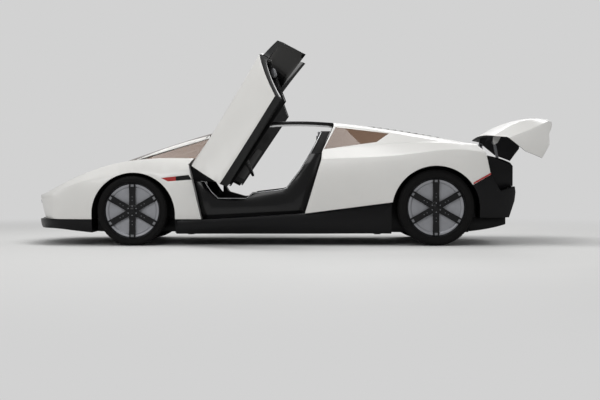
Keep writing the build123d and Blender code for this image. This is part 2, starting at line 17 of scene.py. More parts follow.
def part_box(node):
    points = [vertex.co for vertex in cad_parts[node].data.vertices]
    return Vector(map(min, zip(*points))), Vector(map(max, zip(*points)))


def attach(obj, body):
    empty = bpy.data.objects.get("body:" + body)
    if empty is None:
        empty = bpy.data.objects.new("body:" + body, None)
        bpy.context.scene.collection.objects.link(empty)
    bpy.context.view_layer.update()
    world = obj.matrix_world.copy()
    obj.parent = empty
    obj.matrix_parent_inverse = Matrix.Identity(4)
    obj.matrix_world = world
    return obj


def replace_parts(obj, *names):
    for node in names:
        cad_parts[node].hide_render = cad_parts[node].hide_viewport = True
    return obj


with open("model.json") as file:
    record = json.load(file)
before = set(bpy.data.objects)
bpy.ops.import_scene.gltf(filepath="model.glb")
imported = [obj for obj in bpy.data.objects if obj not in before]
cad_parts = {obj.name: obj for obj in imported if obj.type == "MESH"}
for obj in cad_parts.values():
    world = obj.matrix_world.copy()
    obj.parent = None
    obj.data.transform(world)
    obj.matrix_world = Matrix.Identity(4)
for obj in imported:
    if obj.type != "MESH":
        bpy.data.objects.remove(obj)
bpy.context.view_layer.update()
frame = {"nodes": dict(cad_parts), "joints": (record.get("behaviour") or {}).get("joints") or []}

bl_info = {
    "name": "Supercar Looks",
    "version": (1, 0, 0),
    "blender": (4, 5, 0),
    "location": "View3D > Sidebar > Supercar",
    "description": "Builds the finishes and fittings of a two-door supercar around its CAD frame",
    "category": "Object",
}

TAU = 2 * math.pi
SIDES = ("left", "right")
AXLES = ("front", "rear")
MIRROR = Matrix.Diagonal((1, -1, 1, 1))
TYRES = [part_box(f"{axle}_tyre_left") for axle in AXLES]
MID_X = sum(low.x + high.x for low, high in TYRES) / 4  # the middle of the wheelbase
# radius of each wheel well, drop of its centre below the axle, and its inner wall's distance from the middle
WELLS = {"front": (0.391, 0.035, 0.54), "rear": (0.412, 0.022, 0.64)}
LAMP_SPLIT = 1.011  # where the side lamp's red lens ends, ahead of mid wheelbase
LID_TILT = math.radians(39.0)  # slope of the raised tail lid
DOOR_OPEN = math.radians(67.1)  # how far a raised door has turned from shut
FINISH = {}
SKINS = {}


# ---------------------------------------------------------------- colours, nodes and finishes
def linear(code, alpha=1.0):
    """A hex sRGB colour as the linear RGBA that shaders take."""
    channels = [int(code[i:i + 2], 16) / 255 for i in (1, 3, 5)]
    return [c / 12.92 if c <= 0.04045 else ((c + 0.055) / 1.055) ** 2.4 for c in channels] + [alpha]


def shade(code, step):
    """The hex colour with each channel moved by a step of 255, darker where the step is below nought."""
    channels = [min(255, max(0, int(code[i:i + 2], 16) + step)) for i in (1, 3, 5)]
    return "#" + "".join(f"{c:02X}" for c in channels)


def add_node(tree, kind, links=None, values=None, **settings):
    """Adds one node with its settings, its unlinked values and the sockets that feed it."""
    node = tree.nodes.new(kind)
    for name, setting in settings.items():
        setattr(node, name, setting)
    for key, value in (values or {}).items():
        node.inputs[key].default_value = value
    for key, socket in (links or {}).items():
        tree.links.new(socket, node.inputs[key])
    return node


def pattern(tree, kind, *sizes):
    """The value of a pattern in a piece's own metres.

    Noise takes its grain size, detail and roughness, a twill its tow width, and the others their scale.
    """
    place = {"Vector": add_node(tree, "ShaderNodeTexCoord").outputs["Object"]}
    if kind == "noise":
        size, detail, rough = (*sizes, 0.5)[:3]
        return add_node(tree, "ShaderNodeTexNoise", place,
                        {"Scale": 1 / size, "Detail": detail, "Roughness": rough}).outputs[0]
    if kind == "cells":
        return add_node(tree, "ShaderNodeTexVoronoi", place, {"Scale": sizes[0]},
                        feature="DISTANCE_TO_EDGE").outputs[0]
    if kind == "ribs":
        scale, axis = sizes
        return add_node(tree, "ShaderNodeTexWave", place, {"Scale": scale}, bands_direction=axis).outputs[1]
    if kind == "weave":
        warp, weft = (pattern(tree, "ribs", sizes[0], axis) for axis in "XZ")
        return add_node(tree, "ShaderNodeMath", {0: warp, 1: weft}, operation="MULTIPLY").outputs[0]
    # A twill is a chequer turned by an eighth, on upright and on level faces alike.
    split = add_node(tree, "ShaderNodeSeparateXYZ", place).outputs
    across = add_node(tree, "ShaderNodeMath", {0: split[1], 1: split[2]}, operation="ADD").outputs[0]
    flat = add_node(tree, "ShaderNodeCombineXYZ", {"X": split[0], "Y": across}).outputs[0]
    turn = add_node(tree, "ShaderNodeMapping", {"Vector": flat},
                    {"Rotation": (0, 0, TAU / 8), "Scale": (1 / sizes[0],) * 3}).outputs[0]
    return add_node(tree, "ShaderNodeTexChecker", {"Vector": turn}, {"Scale": 1.0}).outputs[1]


def make_finish(name, low, high=None, tint=None, rough=None, bump=None, **sockets):
    """A material with one Principled shader, named for the real finish.

    The tint pattern runs the colour from low to high. rough holds a pattern and the two values of
    roughness that it runs between. bump holds a pattern, its depth in metres and its strength.
    """
    material = bpy.data.materials.new(name)
    material.use_nodes = True
    tree = material.node_tree
    tree.nodes.clear()
    links = {}
    if tint:
        links["Base Color"] = add_node(tree, "ShaderNodeMix", {0: pattern(tree, *tint)},
                                       {6: linear(low), 7: linear(high)}, data_type="RGBA").outputs[2]
    if rough:
        links["Roughness"] = add_node(tree, "ShaderNodeMapRange", {"Value": pattern(tree, *rough[0])},
                                      {"To Min": rough[1], "To Max": rough[2]}).outputs["Result"]
    if bump:
        links["Normal"] = add_node(tree, "ShaderNodeBump", {"Height": pattern(tree, *bump[0])},
                                   {"Distance": bump[1], "Strength": bump[2]}).outputs[0]
    values = {key.replace("_", " "): value for key, value in sockets.items()}
    shader = add_node(tree, "ShaderNodeBsdfPrincipled", links, {"Base Color": linear(low), **values})
    add_node(tree, "ShaderNodeOutputMaterial", {"Surface": shader.outputs[0]})
    return material


def floor_finish(colour, backdrop, near=3.5, far=9.0):
    """Painted studio floor, rolled matt: pale and even, and run out into the backdrop far from the car."""
    material = make_finish("matt_floor_paint", colour, rough=(("noise", 0.5, 3.0), 0.6, 0.75))
    tree = material.node_tree
    shader, output = (next(n for n in tree.nodes if n.type == kind)
                      for kind in ("BSDF_PRINCIPLED", "OUTPUT_MATERIAL"))
    place = add_node(tree, "ShaderNodeTexCoord").outputs["Object"]
    reach = add_node(tree, "ShaderNodeVectorMath", {0: place}, operation="LENGTH").outputs["Value"]
    fade = add_node(tree, "ShaderNodeMapRange", {"Value": reach}, {"From Min": near, "From Max": far},
                    interpolation_type="SMOOTHSTEP").outputs["Result"]
    seen = seen_by(tree, "Is Camera Ray", "Is Glossy Ray", "Is Transmission Ray")
    share = add_node(tree, "ShaderNodeMath", {0: fade, 1: seen}, operation="MULTIPLY").outputs[0]
    glow = add_node(tree, "ShaderNodeEmission", values={"Color": linear(backdrop), "Strength": 1.0})
    mix = add_node(tree, "ShaderNodeMixShader", {0: share, 1: shader.outputs[0], 2: glow.outputs[0]})
    tree.links.new(mix.outputs[0], output.inputs["Surface"])
    return material


def seen_by(tree, first, *others):
    """One for the rays named and nought for the rest."""
    path = add_node(tree, "ShaderNodeLightPath").outputs
    seen = path[first]
    for name in others:
        seen = add_node(tree, "ShaderNodeMath", {0: seen, 1: path[name]}, operation="MAXIMUM").outputs[0]
    return seen


# ---------------------------------------------------------------- sums and places
def span(first, last, steps):
    """Evenly spaced numbers from first to last."""
    return [first + (last - first) * i / steps for i in range(steps + 1)]


def ramp(value, low, high):
    """Nought below the low limit, one above the high one, and eased between."""
    share = max(0.0, min(1.0, (value - low) / (high - low)))
    return share * share * (3 - 2 * share)


def door_raised(side):
    """Moves what is modelled on the shut left door to the raised door of that side."""
    joint = next(joint for joint in frame["joints"] if joint["name"] == f"door_{side}")
    hinge, axis = Vector(joint["pos_m"]), Vector(joint["axis"])
    turn = Matrix.Translation(hinge) @ Matrix.Rotation(DOOR_OPEN, 4, axis) @ Matrix.Translation(-hinge)
    return turn @ (Matrix.Identity(4) if side == "left" else MIRROR)


def grown(outline, by):
    """The outline pushed out by a distance, as seen from its middle."""
    middle = Vector((sum(u for u, v in outline), sum(v for u, v in outline))) / len(outline)
    made = []
    for spot in outline:
        away = Vector(spot) - middle
        made.append(tuple(middle + away * (1 + by / away.length)))
    return made


# ---------------------------------------------------------------- pieces
def new_object(name, data):
    """A new object in the scene, at the origin."""
    made = bpy.data.objects.new(name, data)
    bpy.context.scene.collection.objects.link(made)
    return made


def new_mesh(shape, name):
    """The bmesh as a mesh."""
    mesh = bpy.data.meshes.new(name)
    shape.to_mesh(mesh)
    shape.free()
    return mesh


def smooth_edges(mesh, degrees):
    """Smooth shading with edges sharper than the angle kept sharp."""
    shape = bmesh.new()
    shape.from_mesh(mesh)
    limit = math.radians(degrees)
    for face in shape.faces:
        face.smooth = True
    for edge in shape.edges:
        edge.smooth = edge.is_manifold and edge.calc_face_angle(0.0) < limit
    shape.to_mesh(mesh)
    shape.free()


def apply_modifiers(piece):
    """Replaces the piece's mesh by its evaluated one and drops the modifiers."""
    graph = bpy.context.evaluated_depsgraph_get()
    mesh = bpy.data.meshes.new_from_object(piece.evaluated_get(graph))
    old = piece.data
    piece.modifiers.clear()
    piece.data = mesh
    bpy.data.meshes.remove(old)


def settle(shape, name, finish, body, degrees=35.0, mirrored=False, outwards=True):
    """Turns a bmesh into a finished piece that rides on its body."""
    if mirrored:
        bmesh.ops.transform(shape, matrix=MIRROR, verts=shape.verts)
    if outwards:
        bmesh.ops.recalc_face_normals(shape, faces=shape.faces)
    piece = new_object(name, new_mesh(shape, name))
    smooth_edges(piece.data, degrees)
    piece.data.materials.append(FINISH[finish])
    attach(piece, body)
    return piece


def settle_pair(shape, name, finish, degrees=35.0):
    """Turns the bmesh of a left-hand piece into that piece and its mirror image, which don't move."""
    for side in SIDES:
        settle(shape.copy(), f"{name}_{side}", finish, "root", degrees, mirrored=side == "right")
    shape.free()


def cad_copy(node):
    """The node's triangles as one joined bmesh."""
    shape = bmesh.new()
    shape.from_mesh(frame["nodes"][node].data)
    bmesh.ops.remove_doubles(shape, verts=shape.verts, dist=2e-5)
    bmesh.ops.dissolve_degenerate(shape, edges=shape.edges, dist=1e-5)
    return shape


def dress_panel(node, finish, body, edge=0.0, degrees=35.0, inner=None, hidden=None, shift=None):
    """A CAD node's own shape with its edges rounded and its curves shaded smooth.

    Faces that the hidden test picks, by centre and normal, get the inner finish.
    The shift test gives how far each point moves, where the skin leans more than the solid.
    """
    shape = cad_copy(node)
    if shift:
        for vertex in shape.verts:
            vertex.co += shift(vertex.co)
    if hidden:
        for face in shape.faces:
            face.material_index = int(hidden(face.calc_center_median(), face.normal))
    piece = settle(shape, f"{node}_skin", finish, body, degrees, outwards=False)
    if hidden:
        piece.data.materials.append(FINISH[inner])
    if edge:
        bevel = piece.modifiers.new("edge_round", "BEVEL")
        bevel.width = edge
        bevel.segments = 2
        bevel.limit_method = "ANGLE"
        bevel.angle_limit = math.radians(degrees)
        bevel.use_clamp_overlap = True
        apply_modifiers(piece)
        smooth_edges(piece.data, degrees)
    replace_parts(piece, node)
    return piece


# ---------------------------------------------------------------- shapes
def bridge(shape, rings, closed=False):
    """Faces from each ring of points to the next, and two caps unless the rings close on themselves."""
    count = len(rings[0])
    for here, there in zip(rings, rings[1:] + rings[:1] if closed else rings[1:]):
        for i in range(count):
            j = (i + 1) % count
            shape.faces.new((here[i], here[j], there[j], there[i]))
    if not closed:
        shape.faces.new(rings[0][::-1])
        shape.faces.new(rings[-1])
    return shape


def revolve(profile, centre, steps, start=0.0, sweep=TAU, into=None):
    """Turns a closed (y, radius) profile about the Y axis through the centre."""
    shape = bmesh.new() if into is None else into
    full = sweep == TAU
    rings = []
    for step in range(steps if full else steps + 1):
        angle = start + sweep * step / steps
        rings.append([shape.verts.new((centre.x + r * math.sin(angle), centre.y + y,
                                       centre.z - r * math.cos(angle))) for y, r in profile])
    return bridge(shape, rings, closed=full)


def round_all(shape, width, segments=2, degrees=30.0):
    """Rounds every edge sharper than the angle."""
    limit = math.radians(degrees)
    bmesh.ops.recalc_face_normals(shape, faces=shape.faces)
    edges = [e for e in shape.edges if e.is_manifold and e.calc_face_angle(0.0) > limit]
    bmesh.ops.bevel(shape, geom=edges, offset=width, segments=segments, affect="EDGES", profile=0.5,
                    clamp_overlap=True)
    return shape


def plate(outline, y_low, y_high, edge=0.0, segments=2, into=None):
    """A plate of a side view outline between two distances from the middle, with its edges rounded."""
    shape = bmesh.new() if into is None else into
    bridge(shape, [[shape.verts.new((u, y, v)) for u, v in outline] for y in (y_low, y_high)])
    return round_all(shape, edge, segments) if edge else shape


def block(low, high, edge=0.0, segments=2, into=None):
    """A block between two corners with its edges rounded."""
    shape = bmesh.new() if into is None else into
    made = bmesh.ops.create_cube(shape, size=1.0)["verts"]
    size = [h - l for l, h in zip(low, high)]
    middle = [(h + l) / 2 for l, h in zip(low, high)]
    bmesh.ops.transform(shape, matrix=Matrix.Translation(middle) @ Matrix.Diagonal((*size, 1)), verts=made)
    if edge:
        edges = list({e for v in made for e in v.link_edges})
        bmesh.ops.bevel(shape, geom=edges, offset=edge, segments=segments, affect="EDGES", profile=0.5)
    return shape


def tube(points, radius, sides=12, closed=False):
    """A round tube along points, with its ends closed."""
    shape = bmesh.new()
    rings = []
    count = len(points)
    for i, point in enumerate(points):
        ahead = points[(i + 1) % count] if closed or i < count - 1 else point
        behind = points[i - 1] if closed or i > 0 else point
        along = (ahead - behind).normalized()
        side = along.cross(Vector((0, 0, 1)))
        if side.length < 1e-3:
            side = along.cross(Vector((1, 0, 0)))
        side.normalize()
        up = side.cross(along)
        rings.append([shape.verts.new(point + radius * (math.cos(a) * side + math.sin(a) * up))
                      for a in (TAU * k / sides for k in range(sides))])
    return bridge(shape, rings, closed)


def skin_hit(node, start, way):
    """Where a ray first meets a CAD node, as it was dressed, and the surface's normal there."""
    if node not in SKINS:
        mesh = (bpy.data.objects.get(f"{node}_skin") or frame["nodes"][node]).data
        SKINS[node] = BVHTree.FromPolygons([v.co for v in mesh.vertices],
                                           [tuple(f.vertices) for f in mesh.polygons])
    spot, normal = SKINS[node].ray_cast(Vector(start), Vector(way))[:2]
    if spot is None:
        raise ValueError(f"no surface of {node} from {tuple(start)}")
    return spot, normal


def skin_patch(node, rows, way, proud=0.002, sunk=0.004):
    """A thin closed slab laid on a node's surface under a grid of ray starts."""
    shape = bmesh.new()
    top, under = [], []
    for row in rows:
        hits = [skin_hit(node, start, way) for start in row]
        top.append([shape.verts.new(spot + normal * proud) for spot, normal in hits])
        under.append([shape.verts.new(spot - normal * sunk) for spot, normal in hits])
    high, wide = len(rows), len(rows[0])
    for i in range(high - 1):
        for j in range(wide - 1):
            shape.faces.new((top[i][j], top[i][j + 1], top[i + 1][j + 1], top[i + 1][j]))
            shape.faces.new((under[i][j], under[i + 1][j], under[i + 1][j + 1], under[i][j + 1]))
    rim = [(0, j) for j in range(wide)] + [(i, wide - 1) for i in range(1, high)]
    rim += [(high - 1, j) for j in range(wide - 2, -1, -1)] + [(i, 0) for i in range(high - 2, 0, -1)]
    for (i, j), (k, m) in zip(rim, rim[1:] + rim[:1]):
        shape.faces.new((top[i][j], under[i][j], under[k][m], top[k][m]))
    return shape


# ---------------------------------------------------------------- Geometry Nodes repeats
def repeat_tree(name, round_axle):
    """A tree that sets copies of an object round an axle, or along a straight row."""
    tree = bpy.data.node_groups.new(name, "GeometryNodeTree")
    face = tree.interface
    face.new_socket("Geometry", in_out="OUTPUT", socket_type="NodeSocketGeometry")
    for label, kind in (("Source", "Object"), ("Count", "Int"), ("Start", "Vector"), ("Step", "Vector"),
                        ("Finish", "Material")):
        face.new_socket(label, in_out="INPUT", socket_type=f"NodeSocket{kind}")
    given = add_node(tree, "NodeGroupInput").outputs
    index = add_node(tree, "GeometryNodeInputIndex").outputs[0]
    moved = add_node(tree, "ShaderNodeVectorMath", {0: given["Step"], "Scale": index},
                     operation="SCALE").outputs[0]
    source = add_node(tree, "GeometryNodeObjectInfo", {"Object": given["Source"]})
    place = given["Start"]
    if not round_axle:
        place = add_node(tree, "ShaderNodeVectorMath", {0: place, 1: moved}, operation="ADD").outputs[0]
    points = add_node(tree, "GeometryNodePoints", {"Count": given["Count"], "Position": place})
    copies = add_node(tree, "GeometryNodeInstanceOnPoints",
                      {"Points": points.outputs[0], "Instance": source.outputs["Geometry"],
                       **({"Rotation": moved} if round_axle else {})})
    real = add_node(tree, "GeometryNodeRealizeInstances", {"Geometry": copies.outputs[0]})
    painted = add_node(tree, "GeometryNodeSetMaterial",
                       {"Geometry": real.outputs[0], "Material": given["Finish"]})
    add_node(tree, "NodeGroupOutput", {"Geometry": painted.outputs[0]})
    return tree


def repeat(shape, name, finish, body, count, start, step, round_axle=False, degrees=35.0):
    """Copies of a small shape round an axle or along a row, made one plain mesh."""
    bmesh.ops.recalc_face_normals(shape, faces=shape.faces)
    unit = new_object(f"{name}_unit", new_mesh(shape, f"{name}_unit"))
    key = "ring_of_copies" if round_axle else "row_of_copies"
    tree = bpy.data.node_groups.get(key) or repeat_tree(key, round_axle)
    piece = new_object(name, bpy.data.meshes.new(name))
    modifier = piece.modifiers.new("repeat", "NODES")
    modifier.node_group = tree
    sockets = {item.name: item.identifier for item in tree.interface.items_tree if item.in_out == "INPUT"}
    for label, value in (("Source", unit), ("Count", count), ("Start", [float(c) for c in start]),
                         ("Step", [float(c) for c in step]), ("Finish", FINISH[finish])):
        modifier[sockets[label]] = value
    apply_modifiers(piece)
    bpy.data.objects.remove(unit)
    smooth_edges(piece.data, degrees)
    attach(piece, body)
    return piece


# ---------------------------------------------------------------- settings
def hex_setting(name, description, default):
    """A setting that holds an sRGB hex colour."""
    return bpy.props.StringProperty(name=name, description=f"sRGB hex of {description}", default=default)


def length_setting(name, description, default):
    """A setting in metres."""
    return bpy.props.FloatProperty(name=name, description=description, default=default, unit="LENGTH")


class PaintSettings(bpy.types.PropertyGroup):
    """Colours of the bodywork and of the glass."""

    body: hex_setting("Body", "the pearl paint", "#DAD9D6")
    lower: hex_setting("Lower body", "the black panels", "#060607")
    glass: hex_setting("Glass", "the glass tint", "#6F5645")
    glass_alpha: bpy.props.FloatProperty(name="Glass density", description="How much the tint hides, 0 to 1",
                                         default=0.74, min=0.0, max=1.0, subtype="FACTOR")
    edge: length_setting("Panel edge", "Rounding of panel edges", 0.003)


class WheelSettings(bpy.types.PropertyGroup):
    """Sizes and colours of the wheels and tyres."""

    spokes: bpy.props.IntProperty(name="Spokes", description="Spokes on each wheel", default=6, min=3)
    spoke_width: length_setting("Spoke width", "Width of a spoke", 0.062)
    treads: bpy.props.IntProperty(name="Tread blocks", description="Blocks round each tyre", default=60,
                                  min=8)
    groove: length_setting("Groove depth", "Depth of the tread", 0.006)
    alloy: hex_setting("Spokes colour", "the spokes", "#08080A")
    cover_low: hex_setting("Cover dark", "the cover's darker patches", "#8A8B8F")
    cover_high: hex_setting("Cover light", "the cover's lighter patches", "#9A9BA0")


class CabinSettings(bpy.types.PropertyGroup):
    """Sizes and colours of the seats and the trim."""

    cloth_low: hex_setting("Cloth dark", "the weft", "#17171A")
    cloth_high: hex_setting("Cloth light", "the warp", "#34343A")
    trim: hex_setting("Trim", "the soft trim", "#101011")
    rim: length_setting("Steering rim", "Radius of the steering wheel's rim tube", 0.0125)
    swell: length_setting("Pad swell", "Most that a pad's cloth may move", 0.024)


class StageSettings(bpy.types.PropertyGroup):
    """Camera, floor and lamps."""

    lens: bpy.props.FloatProperty(name="Lens", description="Focal length in mm on a 36 mm sensor",
                                  default=77.25)
    distance: length_setting("Distance", "Camera from the car's centre plane", 12.98)
    height: length_setting("Height", "Camera above the ground", 0.615)
    offset: length_setting("Offset", "Camera behind mid wheelbase", 0.149)
    tilt: bpy.props.FloatProperty(name="Tilt", description="Camera's tilt down from level, in degrees",
                                  default=0.89)
    floor: hex_setting("Floor", "the floor", "#D9D9D8")
    backdrop: hex_setting("Backdrop", "the backdrop", "#D2D2D2")


# ---------------------------------------------------------------- operators
class SUPERCAR_OT_stage(bpy.types.Operator):
    """Sets the camera, the floor, the lamps and the world"""

    bl_idname = "supercar.stage"
    bl_label = "Stage"

    WORLD_LIGHT = 0.38  # strength of the white world
    FLOOR_HALF = 60.0
    SENSOR, CLIP_END = 36.0, 200.0  # sensor width in mm, and how far the camera sees
    # name, place, what it faces, its sides and its watts
    LAMPS = (
        ("roof_softbox", (0.6, 0.5, 6.5), (0, 0, 0.5), (7.0, 3.0), 268),
        ("camera_side_fill", (3.0, 9.0, 5.0), (0, 0, 0.6), (7.0, 2.5), 235),
        ("far_side_fill", (-3.0, -9.0, 5.0), (0, 0, 0.6), (7.0, 2.5), 170),
        ("nose_fill", (9.0, 1.5, 3.0), (0, 0, 0.6), (4.0, 2.0), 60),
        ("tail_fill", (-9.0, -1.0, 3.0), (0, 0, 0.6), (4.0, 2.0), 60),
    )

    def execute(self, context):
        scene, stage = context.scene, context.scene.supercar_stage
        scene.view_settings.view_transform = "Standard"
        camera = new_object("camera", bpy.data.cameras.new("camera"))
        camera.data.lens = stage.lens
        camera.data.sensor_width = self.SENSOR
        camera.data.clip_end = self.CLIP_END
        camera.location = (MID_X - stage.offset, stage.distance, stage.height)
        camera.rotation_euler = (math.radians(90 - stage.tilt), 0, math.pi)
        scene.camera = camera

        shape = bmesh.new()
        bmesh.ops.create_grid(shape, x_segments=2, y_segments=2, size=self.FLOOR_HALF)
        floor = new_object("floor", new_mesh(shape, "floor"))
        floor.data.materials.append(floor_finish(stage.floor, stage.backdrop))

        # The camera and the glass show the backdrop's colour, and a dimmer white lights the car.
        world = bpy.data.worlds.new("studio")
        scene.world = world
        world.use_nodes = True
        tree = world.node_tree
        tree.nodes.clear()
        dim, shown = (
            add_node(tree, "ShaderNodeBackground", values={"Color": linear(colour), "Strength": power})
            for colour, power in (("#FFFFFF", self.WORLD_LIGHT), (stage.backdrop, 1.0)))
        seen = seen_by(tree, "Is Camera Ray", "Is Transmission Ray")
        mix = add_node(tree, "ShaderNodeMixShader", {0: seen, 1: dim.outputs[0], 2: shown.outputs[0]})
        add_node(tree, "ShaderNodeOutputWorld", {"Surface": mix.outputs[0]})

        for name, place, aim, size, power in self.LAMPS:
            lamp = bpy.data.lights.new(name, "AREA")
            lamp.shape = "RECTANGLE"
            lamp.size, lamp.size_y = size
            lamp.energy = power
            holder = new_object(name, lamp)
            holder.location = place
            holder.rotation_euler = (Vector(aim) - Vector(place)).to_track_quat("-Z", "Y").to_euler()
        return {"FINISHED"}


class SUPERCAR_OT_finishes(bpy.types.Operator):
    """Makes the finishes that the pieces share"""

    bl_idname = "supercar.finishes"
    bl_label = "Finishes"

    def execute(self, context):
        self.bodywork(context.scene.supercar_paint)
        self.running_gear(context.scene.supercar_wheels)
        self.cabin(context.scene.supercar_cabin)
        return {"FINISHED"}

    def bodywork(self, paint):
        """Paint, composite, glass and lamp finishes."""
        # Satin pearl basecoat under a soft clear coat, sprayed: broad highlights and a faint warm depth.
        # Mica flake is 0.02 mm, drawn at 0.6 mm so that it gives a little sparkle at this distance.
        FINISH["pearl"] = make_finish(
            "satin_pearl_paint", shade(paint.body, -5), shade(paint.body, 4), ("noise", 0.35, 3.0),
            rough=(("noise", 0.0006, 0.0), 0.31, 0.42), Coat_Weight=0.35, Coat_Roughness=0.16, Coat_IOR=1.5)
        # Black paint under a polished clear coat, sprayed: mirror highlights with a trace of orange peel.
        FINISH["gloss"] = make_finish(
            "gloss_black_paint", paint.lower, rough=(("noise", 0.25, 3.0), 0.12, 0.2),
            bump=(("noise", 0.004, 1.0), 0.00003, 0.5), Specular_IOR_Level=0.25, Coat_Weight=0.2,
            Coat_Roughness=0.05)
        # Satin lacquered twill of 2 mm carbon tows, drawn at 5 mm so that the diagonal shows.
        FINISH["carbon"] = make_finish(
            "satin_carbon_twill", "#060607", "#101012", ("twill", 0.005),
            rough=(("noise", 0.12, 2.0), 0.3, 0.42), Specular_IOR_Level=0.16, Coat_Weight=0.05,
            Coat_Roughness=0.2)
        # Laminated glass with a bronze tint: it darkens and warms what is behind it and mirrors at a slant.
        FINISH["glass"] = make_finish(
            "bronze_tinted_glass", paint.glass, "#8F735F", ("noise", 0.9, 1.0), Alpha=paint.glass_alpha,
            Roughness=0.03, IOR=1.52)
        FINISH["glass"].surface_render_method = "BLENDED"
        # Moulded acrylic lamp lens over a lit chamber: deep colour with fine optics ribs.
        for key, colour, glow in (("red", "#8C1410", 0.25), ("clear", "#D8DCE0", 0.15)):
            FINISH[key] = make_finish(
                f"{key}_lamp_acrylic", colour, bump=(("ribs", 60.0, "X"), 0.0004, 0.5), Roughness=0.12,
                Coat_Weight=0.9, Coat_Roughness=0.03, Emission_Color=linear(colour), Emission_Strength=glow)

    def running_gear(self, wheels):
        """Rubber and metal finishes."""
        # Vulcanised tyre rubber from a steel mould: matt black, greyer where it is scuffed.
        FINISH["rubber"] = make_finish(
            "tyre_rubber", "#080808", "#121111", ("noise", 0.02, 4.0),
            rough=(("noise", 0.05, 2.0), 0.66, 0.86), bump=(("noise", 0.0022, 3.0), 0.00012, 0.6),
            Specular_IOR_Level=0.14)
        # Forged and machined alloy in satin black enamel: sharp chamfers that catch a thin line of light.
        FINISH["spoke"] = make_finish(
            "satin_black_alloy", wheels.alloy, rough=(("noise", 0.03, 3.0), 0.27, 0.38),
            bump=(("noise", 0.0015, 1.0), 0.00004, 0.4), Specular_IOR_Level=0.22, Coat_Weight=0.08,
            Coat_Roughness=0.12)
        # Turned aluminium in a clear anodised finish: light grey, a little cloudy.
        FINISH["cover"] = make_finish(
            "turned_aluminium", wheels.cover_low, wheels.cover_high, ("noise", 0.05, 2.0),
            rough=(("noise", 0.004, 1.0), 0.36, 0.48), Metallic=0.35)
        # Shot-peened cast aluminium: mid grey with a fine pebbled skin.
        FINISH["cast"] = make_finish(
            "cast_aluminium", "#77787B", rough=(("noise", 0.02, 2.0), 0.38, 0.55),
            bump=(("noise", 0.002, 2.0), 0.0001, 0.6), Metallic=0.8)
        # Brushed stainless strip: pale, with fine scratches that draw out the highlight.
        FINISH["strip"] = make_finish(
            "brushed_stainless_strip", "#D2D3D5", rough=(("noise", 0.003, 2.0), 0.24, 0.36),
            bump=(("noise", 0.0015, 1.0), 0.00004, 0.5), Metallic=0.85)

    def cabin(self, cabin):
        """Trim, cloth, leather, carpet and screen finishes."""
        # Slush-moulded soft-touch trim: a leather grain of about 2 mm cells.
        FINISH["trim"] = make_finish(
            "soft_touch_trim", shade(cabin.trim, -4), shade(cabin.trim, 4), ("noise", 0.1, 3.0),
            rough=(("noise", 0.05, 2.0), 0.55, 0.7), bump=(("cells", 450.0), 0.00015, 0.7),
            Specular_IOR_Level=0.25)
        # Seat cloth of dark grey yarn, woven at about 1 mm and drawn at 3 mm so that it shows.
        FINISH["cloth"] = make_finish(
            "woven_seat_cloth", cabin.cloth_low, cabin.cloth_high, ("weave", 105.0),
            bump=(("weave", 105.0), 0.0003, 0.7), Roughness=0.85, Sheen_Weight=0.25)
        # Corrected-grain leather, semi-aniline: black with fine creases and a low sheen.
        FINISH["leather"] = make_finish(
            "black_leather", "#161516", "#242223", ("noise", 0.06, 3.0),
            rough=(("noise", 0.03, 3.0), 0.42, 0.58), bump=(("cells", 330.0), 0.0002, 0.6))
        # Compression-moulded liner sheet: near black, dull, with a fine pressed grain.
        FINISH["liner"] = make_finish(
            "moulded_black_liner", "#161618", "#202023", ("noise", 0.08, 3.0),
            rough=(("noise", 0.04, 2.0), 0.62, 0.78), bump=(("noise", 0.0025, 2.0), 0.0002, 0.6))
        # Cut-pile carpet: soft black tufts of about 3 mm.
        FINISH["carpet"] = make_finish(
            "tufted_carpet", "#0B0B0C", "#1A1A1C", ("noise", 0.003, 3.0, 0.7),
            bump=(("noise", 0.003, 3.0, 0.7), 0.0015, 0.8), Roughness=0.95, Sheen_Weight=0.2,
            Specular_IOR_Level=0.1)
        # Woven polyester belt webbing: black, with ribs of 2 mm drawn at 4 mm so that they show.
        FINISH["webbing"] = make_finish(
            "belt_webbing", "#0A0A0B", "#19191C", ("ribs", 80.0, "Z"),
            bump=(("ribs", 80.0, "Z"), 0.0003, 0.6), Roughness=0.6, Specular_IOR_Level=0.3)
        # Bonded display glass, switched off: near black with a mirror face and faint finger smears.
        FINISH["screen"] = make_finish(
            "display_glass", "#050608", rough=(("noise", 0.03, 3.0), 0.04, 0.12), Specular_IOR_Level=0.4)


